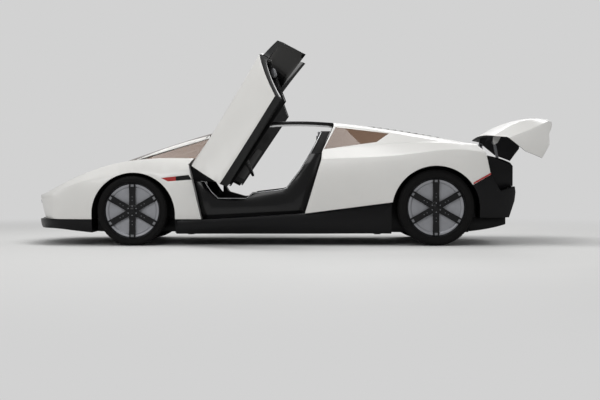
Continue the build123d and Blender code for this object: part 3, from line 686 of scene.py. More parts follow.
class SUPERCAR_OT_bodywork(bpy.types.Operator):
    """Rounds and paints the body panels, doors and glass"""

    bl_idname = "supercar.bodywork"
    bl_label = "Bodywork"

    NOSE_TOP, NOSE_DROP, NOSE_LEAN = 0.47, 0.222, 0.05  # where the nose leans from, how far down and back
    NOSE_X = (2.1, 2.33)  # the lean grows between these, ahead of mid wheelbase
    SPLITTER_LOW, SPLITTER_RISE = 0.118, 0.042  # lowest point of the splitter, and its rise to the front
    SPLITTER_X = (1.7, 2.25)  # the rise grows between these
    WELL_REACH = 1.25  # how far out, in radii, a face can still belong to a wheel well
    TUB_HALF, SILL_HALF = 0.765, 0.745  # half widths of the cabin at the doors and inside the sills
    TUB_ENDS = (-0.004, 0.02)  # how far past the tub's ends its surroundings reach
    BELT_LINE, SILL_TOP = 0.975, 0.72  # heights
    FINE_EDGE, ARM_EDGE = 0.001, 0.0015  # rounding of the parts that aren't panels

    def execute(self, context):
        edge = context.scene.supercar_paint.edge
        self.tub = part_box("cabin_tub")
        self.wells = []
        for axle, (low, high) in zip(AXLES, TYRES):
            arch, drop, inner = WELLS[axle]
            self.wells.append(((low.x + high.x) / 2, (low.z + high.z) / 2 - drop, arch, inner))
        for node, shift in (("front_clam", self.nose_lean), ("rear_clam", None)):
            dress_panel(node, "pearl", "root", edge, inner="trim", hidden=self.out_of_sight,
                        shift=shift)
        for side in SIDES:
            outward = door_raised(side).to_3x3() @ Vector((0, 1, 0))
            dress_panel(f"door_panel_{side}", "pearl", f"door_{side}", edge, inner="gloss",
                        hidden=lambda centre, normal, way=outward: normal.dot(way) < 0.3)
            dress_panel(f"door_roof_{side}", "gloss", f"door_{side}", edge)
            dress_panel(f"door_glass_{side}", "glass", f"door_{side}")
        dress_panel("tail_lid", "pearl", "tail_lid", edge, inner="liner",
                    hidden=self.lid_lining)
        dress_panel("front_splitter", "carbon", "root", edge, shift=self.splitter_rise)
        dress_panel("lid_arms", "cast", "lid_arms", self.ARM_EDGE)
        for finish, slot, width, nodes in (
                ("pearl", "body_paint", edge, ("pillar_strips",)),
                ("gloss", "gloss_black", edge, ("roof_frame",)),
                ("carbon", "carbon_black", edge,
                 ("sills", "rear_fascia", "diffuser", "rear_floor", "tail_tub")),
                ("glass", "tinted_glass", 0.0, ("windscreen", "front_quarter_glass", "rear_quarter_glass")),
                ("trim", "trim_black", self.FINE_EDGE, ("dashboard", "cabin_tub")),
                ("cast", "metal", self.FINE_EDGE, ("power_unit",)),
                ("red", "lamp_red", self.FINE_EDGE, ("tail_lamps",))):
            for node in nodes:
                dress_panel(node, finish, "root", width)
        return {"FINISHED"}

    def nose_lean(self, spot):
        """How far the nose leans back below its tip."""
        below = max(0.0, min(1.0, (self.NOSE_TOP - spot.z) / self.NOSE_DROP))
        return Vector((-self.NOSE_LEAN * below * ramp(spot.x - MID_X, *self.NOSE_X), 0, 0))

    def splitter_rise(self, spot):
        """How far the underside of the splitter rises towards its front edge."""
        under = self.SPLITTER_LOW + self.SPLITTER_RISE * ramp(spot.x - MID_X, *self.SPLITTER_X)
        return Vector((0, 0, max(0.0, under - spot.z)))

    def lid_lining(self, centre, normal):
        """True for the raised lid's lining: its underside, its front edge and the insides of its flanks."""
        forward = normal.dot(Vector((math.cos(LID_TILT), 0, -math.sin(LID_TILT))))
        down = normal.dot(Vector((-math.sin(LID_TILT), 0, -math.cos(LID_TILT))))
        return down > 0.3 or forward > 0.75 or (centre.y * normal.y < 0 and abs(normal.y) > 0.2)

    def out_of_sight(self, centre, normal):
        """True for the faces round the cabin and in the wheel wells."""
        for axle_x, axle_z, arch, inner in self.wells:
            out = Vector((centre.x - axle_x, 0, centre.z - axle_z))
            faces_axle = out.normalized().dot(normal) < -0.5
            inner_wall = out.length < arch and abs(centre.y) < inner + 0.002
            if inner_wall or faces_axle and out.length < self.WELL_REACH * arch:
                return True
        low, high = (corner.x + reach for corner, reach in zip(self.tub, self.TUB_ENDS))
        if abs(centre.y) >= self.TUB_HALF or not low < centre.x < high:
            return False
        inside = centre.z < self.BELT_LINE and abs(centre.y) < self.SILL_HALF
        return inside or normal.z < -0.15 or centre.z < self.SILL_TOP


class SUPERCAR_OT_wheels(bpy.types.Operator):
    """Builds the tyres, the wheels and their covers"""

    bl_idname = "supercar.wheels"
    bl_label = "Wheels and tyres"

    TURNS, HUB_TURNS = 96, 64  # steps round a tyre, a rim or a cover, and round a hub
    FACE_INSET = 0.018  # the spokes' faces lie this far inside the tyre's sidewall
    GAP = 0.16  # share of its pitch that a gap between tread blocks takes
    SHOULDER_DROP, RIB_DROP = 0.0028, 0.0004  # how far the outer edges of the blocks fall away
    ARM_EDGE = 0.002
    # distance and width of each row of blocks in rib widths, and its lead in block pitches
    TREAD = ((0.0, 1.0, 0.0), (1.32, 1.0, 0.1), (-1.32, 1.0, -0.1), (2.72, 1.25, 0.05), (-2.72, 1.25, -0.05))
    # distance from the axle, radius and height of the bolts between spokes
    BOLTS = ((0.043, 0.0062, 0.0065), (0.098, 0.0045, 0.003), (0.13, 0.0045, 0.003))

    def execute(self, context):
        sizes = context.scene.supercar_wheels
        for axle in AXLES:
            for side in SIDES:
                self.tyre(axle, side, sizes)
                self.wheel(axle, side, sizes)
        for side in SIDES:
            node = f"front_knuckle_{side}"
            dress_panel(node, "cast", node, self.ARM_EDGE)
        for node in ("rear_knuckles", "front_wishbones", "rear_wishbones"):
            dress_panel(node, "cast", "root", self.ARM_EDGE)
        return {"FINISHED"}

    def place(self, axle, side):
        """Centre, tyre radius, half width and rim radius of one wheel."""
        low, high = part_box(f"{axle}_tyre_{side}")
        rim_low, rim_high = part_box(f"{axle}_wheel_{side}")
        return (low + high) / 2, (high.z - low.z) / 2, (high.y - low.y) / 2, (rim_high.z - rim_low.z) / 2

    def tyre(self, axle, side, sizes):
        """A tyre with ribbed sidewalls, and tread blocks set round it."""
        centre, radius, half, seat = self.place(axle, side)
        body = f"{axle}_wheel_{side}"
        base = radius - sizes.groove
        # from the bead to the tread: how far inside the sidewall, and the height up it
        wall = [(half - inset, seat + share * (radius - seat)) for inset, share in (
            (0.0125, 0.0), (0.004, 0.05), (0.001, 0.16), (0.003, 0.2), (0.0015, 0.25), (0.0, 0.45),
            (0.001, 0.55), (0.0005, 0.58), (0.0005, 0.62), (0.0035, 0.65), (0.008, 0.8))]
        wall += [(half - 0.02, base - 0.002), (half - 0.045, base)]
        tyre = settle(revolve(wall + [(-y, r) for y, r in wall[::-1]], centre, self.TURNS),
                      f"{axle}_tyre_{side}_casing", "rubber", body, 28.0)
        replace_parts(tyre, f"{axle}_tyre_{side}")
        unit = bmesh.new()
        pitch = TAU / sizes.treads
        rib = 0.26 * half
        for offset, breadth, lead in self.TREAD:
            y, width = offset * rib, breadth * rib
            gap = self.GAP if offset else 0.0
            crown = radius - (self.RIB_DROP if offset else 0.0)
            drop = self.SHOULDER_DROP if abs(offset) > 2 else self.RIB_DROP
            section = [(y - width / 2, base - 0.004), (y + width / 2, base - 0.004),
                       (y + width / 2, crown - (drop if y > 0 else 0.0)),
                       (y - width / 2, crown - (drop if y < 0 else 0.0))]
            revolve(section, Vector((0, 0, 0)), 3, (lead - 0.5 + gap / 2) * pitch, (1 - gap) * pitch, unit)
        repeat(unit, f"{axle}_tyre_{side}_tread", "rubber", body, sizes.treads, centre, (0, pitch, 0),
               round_axle=True, degrees=25.0)

    def wheel(self, axle, side, sizes):
        """Spokes, hub, rim and the dished cover behind the spokes."""
        centre, _, half, seat = self.place(axle, side)
        body = f"{axle}_wheel_{side}"
        out = 1 if side == "left" else -1
        face = half - self.FACE_INSET
        tip = seat - 0.004  # where the spokes end
        lip = seat - 0.003  # where the cover ends

        def turned(name, finish, profile, steps, degrees, node=None):
            shape = revolve([(out * y, r) for y, r in profile], centre, steps)
            piece = settle(shape, f"{axle}_{name}_{side}", finish, body, degrees)
            if node:
                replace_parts(piece, f"{axle}_{node}_{side}")

        def ringed(shape, name, finish, degrees=35.0):
            repeat(shape, f"{axle}_{name}_{side}", finish, body, sizes.spokes, centre,
                   (0, TAU / sizes.spokes, 0), round_axle=True, degrees=degrees)

        # Profiles, as distance from the wheel's middle plane and radius.
        turned("rim", "spoke", (
            (0.012 - half, seat), (half - 0.014, seat), (half - 0.0115, seat - 0.001),
            (half - 0.0115, seat - 0.0025), (half - 0.016, seat - 0.004), (half - 0.032, seat - 0.017),
            (half - 0.06, seat - 0.03), (0.03 - half, seat - 0.03), (0.012 - half, seat - 0.014)),
            self.TURNS, 30.0, "wheel")
        turned("hub", "spoke", (
            (face - 0.03, 0.0605), (face - 0.004, 0.0605), (face + 0.001, 0.056), (face + 0.003, 0.05),
            (face + 0.003, 0.033), (face + 0.009, 0.031), (face + 0.012, 0.026), (face + 0.012, 0.0004),
            (face - 0.03, 0.0004)), self.HUB_TURNS, 35.0)
        turned("cover", "cover", (
            (face - 0.036, 0.058), (face - 0.036, 0.08), (face - 0.032, 0.1), (face - 0.028, 0.55 * lip),
            (face - 0.027, 0.8 * lip), (face - 0.026, 0.84 * lip), (face - 0.016, 0.875 * lip),
            (face - 0.012, 0.9 * lip), (face - 0.011, 0.955 * lip), (face - 0.014, lip), (face - 0.026, lip),
            (face - 0.03, 0.9 * lip), (face - 0.038, 0.8 * lip), (face - 0.042, 0.058)),
            self.TURNS, 30.0, "disc")

        wide = sizes.spoke_width / 2
        edge = [(wide, 0.03), (wide * 0.92, tip * 0.55), (wide, tip - 0.028), (wide * 0.94, tip)]
        spoke = plate([(-u, v) for u, v in edge] + edge[::-1], out * (face - 0.026), out * face)
        front = [e for e in spoke.edges if all(abs(v.co.y - out * face) < 1e-5 for v in e.verts)]
        bmesh.ops.bevel(spoke, geom=front, offset=0.005, segments=2, affect="EDGES")
        ringed(spoke, "spokes", "spoke")
        levels = sorted((out * (face - 0.002), out * (face + 0.0012)))
        ringed(block((-0.014, levels[0], tip - 0.034), (0.014, levels[1], tip - 0.012), 0.001, 1),
               "spoke_tips", "cast")
        bolts = bmesh.new()
        for reach, size, proud in self.BOLTS:
            hexagon = [(size * math.sin(a), reach + size * math.cos(a)) for a in span(0, TAU * 5 / 6, 5)]
            plate(hexagon, *sorted((out * (face - 0.001), out * (face + proud))), into=bolts)
        ringed(bolts, "wheel_bolts", "cast", 20.0)


class SUPERCAR_OT_cabin(bpy.types.Operator):
    """Builds the padded seats, the steering wheel and the trim"""

    bl_idname = "supercar.cabin"
    bl_label = "Cabin"

    # Side view outlines and edges, ahead of mid wheelbase
    TUB_WALL = ((0.768, 0.246), (-0.17, 0.296), (-0.19, 0.31), (-0.34, 0.802), (-0.346, 0.868),
                (-0.248, 0.868), (-0.153, 0.706), (-0.02, 0.532), (0.03, 0.52), (0.30, 0.488), (0.36, 0.438),
                (0.63, 0.438), (0.70, 0.505), (0.76, 0.6), (0.845, 0.6))
    APERTURE = ((0.79, 0.765, 0.603), (0.755, 0.765, 0.598), (0.695, 0.765, 0.507), (0.628, 0.765, 0.441),
                (0.36, 0.765, 0.441), (0.3, 0.765, 0.491), (0.03, 0.765, 0.523), (-0.02, 0.765, 0.535),
                (-0.153, 0.765, 0.709), (-0.248, 0.76, 0.868), (-0.3, 0.69, 0.965), (-0.352, 0.6, 1.072))
    PILLAR = ((-0.248, 0.76, 0.862), (-0.34, 0.76, 0.862), (-0.44, 0.585, 1.085), (-0.35, 0.585, 1.085))
    CONSOLE = ((-0.5, 0.302), (-0.5, 0.44), (-0.08, 0.46), (0.28, 0.42), (0.56, 0.5), (0.618, 0.6),
               (0.618, 0.302))
    BELT = ((-0.352, 0.565, 1.03), (-0.372, 0.6, 0.93), (-0.385, 0.63, 0.76), (-0.375, 0.645, 0.5),
            (-0.345, 0.65, 0.2))
    DOOR_CARD = ((0.752, 0.285), (0.828, 0.615), (0.856, 0.748), (0.83, 0.778), (0.69, 0.79), (0.1, 0.83),
                 (-0.31, 0.862), (-0.312, 0.81), (-0.165, 0.332))
    DOOR_PULL = ((0.52, 0.782, 0.715), (0.515, 0.755, 0.712), (0.5, 0.747, 0.713), (0.38, 0.747, 0.722),
                 (0.365, 0.755, 0.723), (0.36, 0.782, 0.726))
    SPEAKER, SPEAKER_RINGS, SPEAKER_SPOKES = (0.2, 0.7795, 0.415), 6, 18  # the grille's centre and its studs
    VOXEL, QUICK_VOXEL = 0.0085, 0.014  # grain of a pad's mesh
    PRESSURE, TICKS = 4.0, 20  # air in a pad, and the frames that it takes to settle
    SEAMS, SEAM_DEPTH, SEAM_WIDTH = 3, 0.006, 0.01  # sewn seams of a pad, and half the width of each
    RIM_REACH, RIM_SQUARE, RIM_HIGH = 0.157, 2.8, 0.92  # steering rim: radius, squareness, height to width
    RIM_STEPS, RIM_CENTRE = 64, (0.062, 0.172)  # its middle, ahead of its rear edge and below its top
    RIM_FACE = (-0.92, 0, 0.39)

    def execute(self, context):
        sizes = context.scene.supercar_cabin
        self.tub_walls()
        self.dash()
        self.console()
        self.pedals()
        self.belts()
        for side in SIDES:
            self.door_card(side)
        self.seats(sizes)
        self.steering(sizes)
        return {"FINISHED"}

    def plate(self, outline, y_low, y_high, edge=0.0, segments=2, into=None):
        """A rounded plate of an outline given ahead of mid wheelbase."""
        return plate([(MID_X + u, v) for u, v in outline], y_low, y_high, edge, segments, into)

    def block(self, low, high, edge=0.004, segments=2, into=None):
        """A rounded block given ahead of mid wheelbase."""
        return block((MID_X + low[0], *low[1:]), (MID_X + high[0], *high[1:]), edge, segments, into)

    def tube(self, points, radius, sides, closed=False):
        """A tube along points given ahead of mid wheelbase."""
        return tube([Vector((MID_X + x, y, z)) for x, y, z in points], radius, sides, closed)

    def fit(self, shape, name, finish, slot="trim_black", degrees=35.0):
        """Settles one piece of trim that doesn't move."""
        return settle(shape, name, finish, "root", degrees)

    def tub_walls(self):
        """The carbon tub's side walls, with the metal edge trim and treads of the door aperture."""
        settle_pair(self.plate(self.TUB_WALL, 0.742, 0.7725, 0.004), "tub_wall", "gloss")
        pillar = bmesh.new()
        rings = [[pillar.verts.new((MID_X + x, y - inset, z)) for x, y, z in self.PILLAR]
                 for inset in (0.0, 0.022)]
        settle_pair(round_all(bridge(pillar, rings), 0.004), "rear_pillar_trim", "trim")
        settle_pair(self.tube(self.APERTURE, 0.0042, 10), "aperture_trim", "strip", 60.0)
        seal = [(x, y - 0.017, z + 0.001) for x, y, z in self.APERTURE[1:]]
        settle_pair(self.tube(seal, 0.007, 10), "aperture_seal", "rubber", 60.0)
        treads = self.block((0.05, 0.706, 0.294), (0.6, 0.738, 0.299), 0.002)
        self.block((0.34, 0.748, 0.436), (0.61, 0.76, 0.4405), 0.0015, into=treads)
        settle_pair(treads, "tread_plate", "cast")

    def dash(self):
        """Instrument hood and screens, air vents with slats, and a padded roll on the dashboard."""
        hood = ((0.60, 0.73), (0.585, 0.8), (0.6, 0.825), (0.72, 0.815), (0.84, 0.775), (0.84, 0.73))
        self.fit(self.plate(hood, 0.2, 0.54, 0.012, 3), "instrument_hood", "leather")
        gauges = ((0.5805, 0.737), (0.5765, 0.737), (0.5705, 0.797), (0.5745, 0.797))
        self.fit(self.plate(gauges, 0.225, 0.515, 0.0015), "instrument_screen", "screen", "gloss_black")
        screen = ((0.612, 0.48), (0.598, 0.482), (0.576, 0.722), (0.59, 0.724))
        self.fit(self.plate(screen, -0.1, 0.1, 0.004), "centre_screen", "screen", "gloss_black")
        self.fit(self.block((0.598, -0.66, 0.722), (0.622, 0.66, 0.742), 0.008, 3), "dash_roll", "leather")
        for name, y in (("inner", 0.135), ("outer", 0.58)):
            settle_pair(self.block((0.612, y, 0.655), (0.622, y + 0.095, 0.71), 0.003), f"vent_frame_{name}",
                        "gloss")
            for side, sign in zip(SIDES, (1, -1)):
                low, high = sorted((sign * (y + 0.006), sign * (y + 0.089)))
                repeat(self.block((0.6065, low, 0), (0.6135, high, 0.0025), 0.0), f"vent_slats_{name}_{side}",
                       "spoke", "root", 6, (0, 0, 0.662), (0, 0, 0.0085))

    def console(self):
        """The centre console with its armrest, selector and switches, and the floor mats."""
        self.fit(self.plate(self.CONSOLE, -0.108, 0.108, 0.012, 3), "centre_console", "trim")
        armrest = ((-0.46, 0.44), (-0.46, 0.475), (-0.1, 0.497), (-0.08, 0.455))
        self.fit(self.plate(armrest, -0.085, 0.085, 0.014, 3), "console_armrest", "leather", "upholstery",
                 50.0)
        cover = ((0.02, 0.451), (0.02, 0.4555), (0.27, 0.4275), (0.27, 0.423))
        self.fit(self.plate(cover, -0.07, 0.07, 0.0015), "console_plate", "spoke", "gloss_black")
        self.fit(self.block((0.17, -0.02, 0.43), (0.215, 0.02, 0.485), 0.01, 3), "drive_selector", "cast",
                 "metal", 50.0)
        repeat(self.block((0.06, -0.052, 0.448), (0.078, -0.03, 0.4575), 0.002), "console_switches", "trim",
               "root", 4, (0, 0, 0), (0, 0.0275, 0))
        mat = self.block((0.25, 0.15, 0.16), (0.9, 0.64, 0.169), 0.003)
        settle_pair(mat, "floor_mat", "carpet")

    def pedals(self):
        """Two pedals on arms and a foot rest, with ribbed pads."""
        arm = ((0.955, 0.44), (0.94, 0.44), (0.878, 0.27), (0.89, 0.262))
        pad = ((0.872, 0.21), (0.862, 0.213), (0.878, 0.305), (0.89, 0.3))
        for name, y, wide in (("brake", 0.36, 0.035), ("drive", 0.25, 0.022)):
            shape = self.plate(arm, y - 0.007, y + 0.007)
            self.fit(self.plate(pad, y - wide, y + wide, into=shape), f"{name}_pedal", "cast", "metal")
            rib = self.block((0.861, y - wide * 0.8, 0.0), (0.8665, y + wide * 0.8, 0.004), 0.0)
            repeat(rib, f"{name}_pedal_ribs", "rubber", "root", 5, (0, 0, 0.225),
                   (0.0028, 0, 0.016))
        rest = ((0.955, 0.17), (0.86, 0.17), (0.9, 0.31), (0.955, 0.36))
        self.fit(self.plate(rest, 0.48, 0.58, 0.004), "foot_rest", "trim")

    def belts(self):
        """Seat belts: guide on the rear pillar, webbing to the floor, and buckle by the console."""
        web = bmesh.new()
        section = ((-0.023, 0.0), (0.023, 0.0), (0.023, -0.002), (-0.023, -0.002))
        bridge(web, [[web.verts.new((MID_X + x + dx, y + dy, z)) for dx, dy in section]
                     for x, y, z in self.BELT])
        settle_pair(web, "belt_webbing", "webbing")
        x, y, z = self.BELT[0]
        settle_pair(self.block((x - 0.032, y - 0.009, z - 0.012), (x + 0.032, y + 0.012, z + 0.05), 0.006, 3),
                    "belt_guide", "cast", 50.0)
        buckle = self.block((-0.235, 0.113, 0.3), (-0.205, 0.126, 0.41))
        self.block((-0.24, 0.111, 0.39), (-0.2, 0.128, 0.44), into=buckle)
        settle_pair(buckle, "belt_buckle", "trim")
        settle_pair(self.block((-0.38, 0.632, 0.161), (-0.31, 0.668, 0.215), 0.006), "belt_anchor", "trim")

    def door_card(self, side):
        """Inner trim of a door, modelled on the shut left door and carried to the raised place."""
        raised, body = door_raised(side), f"door_{side}"

        def fit(shape, name, finish, degrees=40.0):
            bmesh.ops.transform(shape, matrix=raised, verts=shape.verts)
            settle(shape, f"{name}_{side}", finish, body, degrees)

        fit(self.plate(self.DOOR_CARD, 0.7795, 0.7895, 0.0025), "door_card", "trim")
        seal = [(x, 0.7845, z) for x, z in grown(self.DOOR_CARD, 0.009)]
        fit(self.tube(seal, 0.0055, 8, closed=True), "door_seal", "rubber", 60.0)
        armrest = ((0.56, 0.6), (0.5, 0.655), (0.08, 0.672), (0.0, 0.65), (0.03, 0.6))
        fit(self.plate(armrest, 0.712, 0.783, 0.018, 3), "door_armrest", "leather", 50.0)
        accent = ((0.75, 0.68), (0.2, 0.725), (-0.26, 0.79), (-0.262, 0.8), (0.2, 0.742), (0.76, 0.7))
        fit(self.plate(accent, 0.7745, 0.781, 0.002), "door_accent", "spoke")
        fit(self.tube(self.DOOR_PULL, 0.008, 12), "door_pull", "cast", 60.0)
        pocket = ((0.70, 0.31), (0.735, 0.43), (0.35, 0.425), (0.33, 0.345))
        fit(self.plate(pocket, 0.7755, 0.781, 0.0015), "door_pocket_lid", "leather")
        latch = ((-0.285, 0.62), (-0.31, 0.7), (-0.27, 0.7), (-0.245, 0.62))
        fit(self.plate(latch, 0.792, 0.82, 0.003), "door_latch", "cast")
        studs = bmesh.new()
        size, pitch = 0.0022, 0.0105
        for ring in range(1, self.SPEAKER_RINGS + 1):
            stud = [(size * math.cos(a), pitch * ring + size * math.sin(a)) for a in span(0, TAU * 5 / 6, 5)]
            plate(stud, 0.0, -(0.0012 + 0.0004 * ring / self.SPEAKER_RINGS), into=studs)
        x, y, z = self.SPEAKER
        piece = repeat(studs, f"door_speaker_{side}", "spoke", body, self.SPEAKER_SPOKES,
                       (MID_X + x, y, z), (0, TAU / self.SPEAKER_SPOKES, 0), round_axle=True)
        piece.data.transform(raised)
        if side == "right":
            piece.data.flip_normals()

    def pad(self, name, outline, y_low, y_high, swell):
        """A cushion blown up from a slim block of the outline, with sewn seams from front to back."""
        shape = plate(outline, y_low, y_high)
        bmesh.ops.recalc_face_normals(shape, faces=shape.faces)
        piece = new_object(name, new_mesh(shape, name))
        voxels = piece.modifiers.new("voxels", "REMESH")
        voxels.mode = "VOXEL"
        voxels.voxel_size = self.VOXEL
        apply_modifiers(piece)
        self.blow_up(piece, swell)
        piece.data.update()
        seams = span(y_low, y_high, self.SEAMS + 1)[1:-1]
        sewn = []
        for vertex in piece.data.vertices:
            away = min(abs(vertex.co.y - seam) for seam in seams)
            pull = self.SEAM_DEPTH * math.exp(-(away / self.SEAM_WIDTH) ** 2)
            sewn.append(vertex.co - vertex.normal * pull)
        for vertex, spot in zip(piece.data.vertices, sewn):
            vertex.co = spot
        return piece

    def blow_up(self, piece, swell):
        """Fills the piece with air as a cloth bag, and caps how far any point may move."""
        rest = np.array([v.co for v in piece.data.vertices])
        cloth = piece.modifiers.new("cloth", "CLOTH")
        cloth.settings.use_pressure = True
        cloth.settings.uniform_pressure_force = self.PRESSURE
        cloth.settings.effector_weights.gravity = 0.0
        cloth.settings.quality = 4
        cloth.collision_settings.use_collision = False
        scene = bpy.context.scene
        for tick in range(1, self.TICKS + 1):
            scene.frame_set(tick)
        blown = piece.evaluated_get(bpy.context.evaluated_depsgraph_get())
        move = np.array([v.co for v in blown.data.vertices]) - rest
        length = np.linalg.norm(move, axis=1, keepdims=True)
        move *= np.minimum(1.0, swell / np.maximum(length, 1e-9))
        piece.modifiers.clear()
        scene.frame_set(1)
        for vertex, spot in zip(piece.data.vertices, rest + move):
            vertex.co = spot

    def seats(self, sizes):
        """Both seats: cushion, and back with a headrest."""
        low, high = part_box("seat_cushions")
        cushion = ((low.x + 0.02, low.z + 0.02), (high.x - 0.025, low.z + 0.02),
                   (high.x - 0.02, high.z - 0.04), (high.x - 0.09, high.z - 0.022),
                   (low.x + 0.09, high.z - 0.1), (low.x + 0.02, high.z - 0.09))
        inner, outer = high.y - 0.46, high.y - 0.02
        low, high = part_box("seat_backs")
        back = ((low.x + 0.1, low.z + 0.04), (high.x - 0.04, low.z + 0.035), (high.x - 0.135, low.z + 0.42),
                (high.x - 0.18, high.z - 0.03), (low.x + 0.025, high.z - 0.03), (low.x + 0.035, low.z + 0.36))
        for kind, outline, node in (("cushion", cushion, "seat_cushions"), ("back", back, "seat_backs")):
            left = self.pad(f"seat_{kind}_left", outline, inner, outer, sizes.swell)
            left.data.materials.append(FINISH["cloth"])
            smooth_edges(left.data, 60.0)
            right = new_object(f"seat_{kind}_right", left.data.copy())
            right.data.transform(MIRROR)
            right.data.flip_normals()
            for made in (left, right):
                soft = made.modifiers.new("smooth", "SUBSURF")
                soft.levels = soft.render_levels = 1
                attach(made, "root")
                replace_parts(made, node)

    def steering(self, sizes):
        """A squared rim on three spokes with a plain hub pad."""
        low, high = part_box("steering_wheel")
        normal = Vector(self.RIM_FACE).normalized()
        across = Vector((0, 1, 0))
        up = normal.cross(across).normalized()
        ahead, down = self.RIM_CENTRE
        centre = Vector((low.x + ahead, (low.y + high.y) / 2, high.z - down * abs(up.z)))
        points = []
        power = self.RIM_SQUARE
        for step in range(self.RIM_STEPS):
            c, s = math.cos(TAU * step / self.RIM_STEPS), math.sin(TAU * step / self.RIM_STEPS)
            reach = self.RIM_REACH / (abs(c) ** power + abs(s) ** power) ** (1 / power)
            points.append(centre + across * reach * c + up * reach * s * self.RIM_HIGH)
        rim = self.fit(tube(points, sizes.rim, 14, closed=True), "steering_rim", "leather", degrees=60.0)
        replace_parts(rim, "steering_wheel")
        turn = Matrix((across, up, normal)).transposed().to_4x4()
        turn.translation = centre
        hub = block((-0.145, -0.016, -0.008), (0.145, 0.016, 0.006), 0.004)
        block((-0.02, -0.14, -0.008), (0.02, 0.0, 0.004), 0.004, into=hub)
        block((-0.058, -0.048, -0.02), (0.058, 0.048, 0.014), 0.012, 3, into=hub)
        bmesh.ops.transform(hub, matrix=turn, verts=hub.verts)
        self.fit(hub, "steering_hub", "trim", degrees=40.0)
        column = tube([centre - normal * 0.02, centre - normal * 0.27], 0.026, 20)
        self.fit(column, "steering_column", "trim", degrees=40.0)


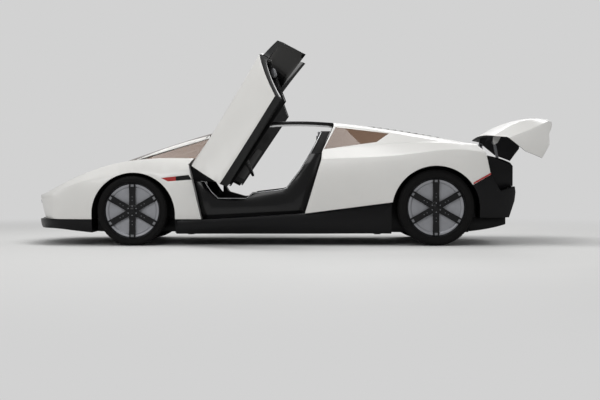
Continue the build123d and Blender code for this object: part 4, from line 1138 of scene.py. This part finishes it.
class SUPERCAR_OT_lamps(bpy.types.Operator):
    """Fits the lamps, the light bars and the grilles"""

    bl_idname = "supercar.lamps"
    bl_label = "Lamps and grilles"

    FAR = 3  # where rays that look for a surface start
    # name, node, ray start and way along X, half width, heights, finish, slot and how proud it stands
    STRIPS = (
        ("nose_grille_panel", "front_clam", 1, 0.4, (0.272, 0.345), "trim", "trim_black", 0.001),
        ("tail_light_bar", "rear_fascia", -1, 0.74, (0.508, 0.522), "red", "lamp_red", 0.003),
        ("tail_grille_panel", "rear_fascia", -1, 0.56, (0.32, 0.45), "trim", "trim_black", 0.001),
    )
    # name, finish, how far inside the lamp's outline it lies, and how proud it stands
    HEADLAMP = (("bezel", "gloss", 0.0, 0.003), ("lens", "clear", 0.007, 0.0055))
    HEADLAMP_Y, HEADLAMP_Z = (0.17, 0.45), (0.392, 0.424)
    VENT_X, VENT_HALF = (-1.53, -0.82), 0.31  # the deck's vent, ahead of mid wheelbase
    LOUVRES, LOUVRE_X, LOUVRE_PITCH, LOUVRE_HALF = 10, -0.86, 0.07, 0.285  # count, first, pitch, half length

    def execute(self, context):
        self.side_lamp()
        for name, node, end, width, heights, finish, slot, proud in self.STRIPS:
            rows = [[(end * self.FAR, y, z) for y in span(-width, width, 40)] for z in span(*heights, 4)]
            settle(skin_patch(node, rows, (-end, 0, 0), proud), name, finish, "root")
        for side, sign in zip(SIDES, (1, -1)):
            for name, finish, inset, proud in self.HEADLAMP:
                across = span(self.HEADLAMP_Y[0] + inset, self.HEADLAMP_Y[1] - inset, 24)
                rows = [[(self.FAR, sign * y, z) for y in across]
                        for z in span(self.HEADLAMP_Z[0] + inset, self.HEADLAMP_Z[1] - inset, 5)]
                settle(skin_patch("front_clam", rows, (-1, 0, 0), proud), f"headlamp_{name}_{side}", finish,
                       "root")
        self.slats("nose_grille_slats", "front_clam", 1, 0.385, (0.274, 0.343), 45)
        self.slats("tail_grille_slats", "rear_fascia", -1, 0.545, (0.324, 0.446), 56)
        self.louvres()
        return {"FINISHED"}

    def side_lamp(self):
        """The lamp slot behind the front wheel: a red lens ahead, a black blank behind it."""
        for name, finish, slot, ahead in (("side_lamp_lens", "red", "lamp_red", True),
                                          ("side_lamp_blank", "gloss", "gloss_black", False)):
            shape = cad_copy("side_lamps")
            cut = bmesh.ops.bisect_plane(
                shape, geom=shape.verts[:] + shape.edges[:] + shape.faces[:],
                plane_co=(MID_X + LAMP_SPLIT, 0, 0), plane_no=(1, 0, 0), clear_outer=not ahead,
                clear_inner=ahead)
            edges = [e for e in cut["geom_cut"] if isinstance(e, bmesh.types.BMEdge)]
            bmesh.ops.holes_fill(shape, edges=edges)
            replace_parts(settle(shape, name, finish, "root"), "side_lamps")

    def slats(self, name, node, end, reach, heights, count):
        """Upright slats side by side on a grille panel, each leaning with the surface."""
        def surface(y, z):
            return skin_hit(node, (end * self.FAR, y, z), (-end, 0, 0))[0].x

        behind, front = -0.002 * end, 0.003 * end
        (low, low_x), (high, high_x) = ((z, surface(0.0, z)) for z in heights)
        outline = [(low_x + behind, low), (low_x + front, low), (high_x + front, high),
                   (high_x + behind, high)]
        unit = plate(outline, -0.0025, 0.0025)
        piece = repeat(unit, name, "gloss", "root", count, (0, -reach, 0),
                       (0, 2 * reach / (count - 1), 0))
        for vertex in piece.data.vertices:
            y = max(-reach, min(reach, vertex.co.y))
            vertex.co.x += surface(y, vertex.co.z) - surface(0.0, vertex.co.z)

    def louvres(self):
        """The vent panel over the power unit: a black inset with slats lying across it."""
        down = (0, 0, -1)
        rows = [[(MID_X + x, y, self.FAR) for y in span(-self.VENT_HALF, self.VENT_HALF, 24)]
                for x in span(*self.VENT_X, 12)]
        settle(skin_patch("rear_clam", rows, down, 0.0008), "deck_vent_panel", "trim", "root")
        slat = ((0.026, -0.003), (0.026, 0.0), (-0.026, 0.0055), (-0.026, 0.0025))
        unit = plate(slat, -self.LOUVRE_HALF, self.LOUVRE_HALF)
        across = [e for e in unit.edges if abs(e.verts[0].co.y - e.verts[1].co.y) > self.LOUVRE_HALF]
        bmesh.ops.subdivide_edges(unit, edges=across, cuts=11, use_grid_fill=True)
        piece = repeat(unit, "deck_louvres", "gloss", "root", self.LOUVRES,
                       (MID_X + self.LOUVRE_X, 0, 0), (-self.LOUVRE_PITCH, 0, 0))
        for vertex in piece.data.vertices:
            vertex.co.z += skin_hit("rear_clam", (vertex.co.x, vertex.co.y, self.FAR), down)[0].z


class SUPERCAR_PT_panel(bpy.types.Panel):
    """Lists the sizes and the colours, and a button for each step that builds the pieces"""

    bl_label = "Supercar"
    bl_idname = "SUPERCAR_PT_panel"
    bl_space_type = "VIEW_3D"
    bl_region_type = "UI"
    bl_category = "Supercar"

    def draw(self, context):
        for group in GROUPS:
            box = self.layout.box()
            settings = getattr(context.scene, group)
            for name in settings.__annotations__:
                box.prop(settings, name)
        for operator in OPERATORS:
            self.layout.operator(operator.bl_idname)


GROUPS = {"supercar_paint": PaintSettings, "supercar_wheels": WheelSettings, "supercar_cabin": CabinSettings,
          "supercar_stage": StageSettings}
OPERATORS = (SUPERCAR_OT_stage, SUPERCAR_OT_finishes, SUPERCAR_OT_bodywork, SUPERCAR_OT_lamps,
             SUPERCAR_OT_wheels, SUPERCAR_OT_cabin)
CLASSES = (*GROUPS.values(), *OPERATORS, SUPERCAR_PT_panel)


def register():
    for kind in CLASSES:
        bpy.utils.register_class(kind)
    for name, kind in GROUPS.items():
        setattr(bpy.types.Scene, name, bpy.props.PointerProperty(type=kind))


def unregister():
    for name in GROUPS:
        delattr(bpy.types.Scene, name)
    for kind in reversed(CLASSES):
        bpy.utils.unregister_class(kind)


def main():
    """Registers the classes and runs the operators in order."""
    register()
    for operator in OPERATORS:
        group, name = operator.bl_idname.split(".")
        getattr(getattr(bpy.ops, group), name)()


if __name__ == "__main__":
    main()
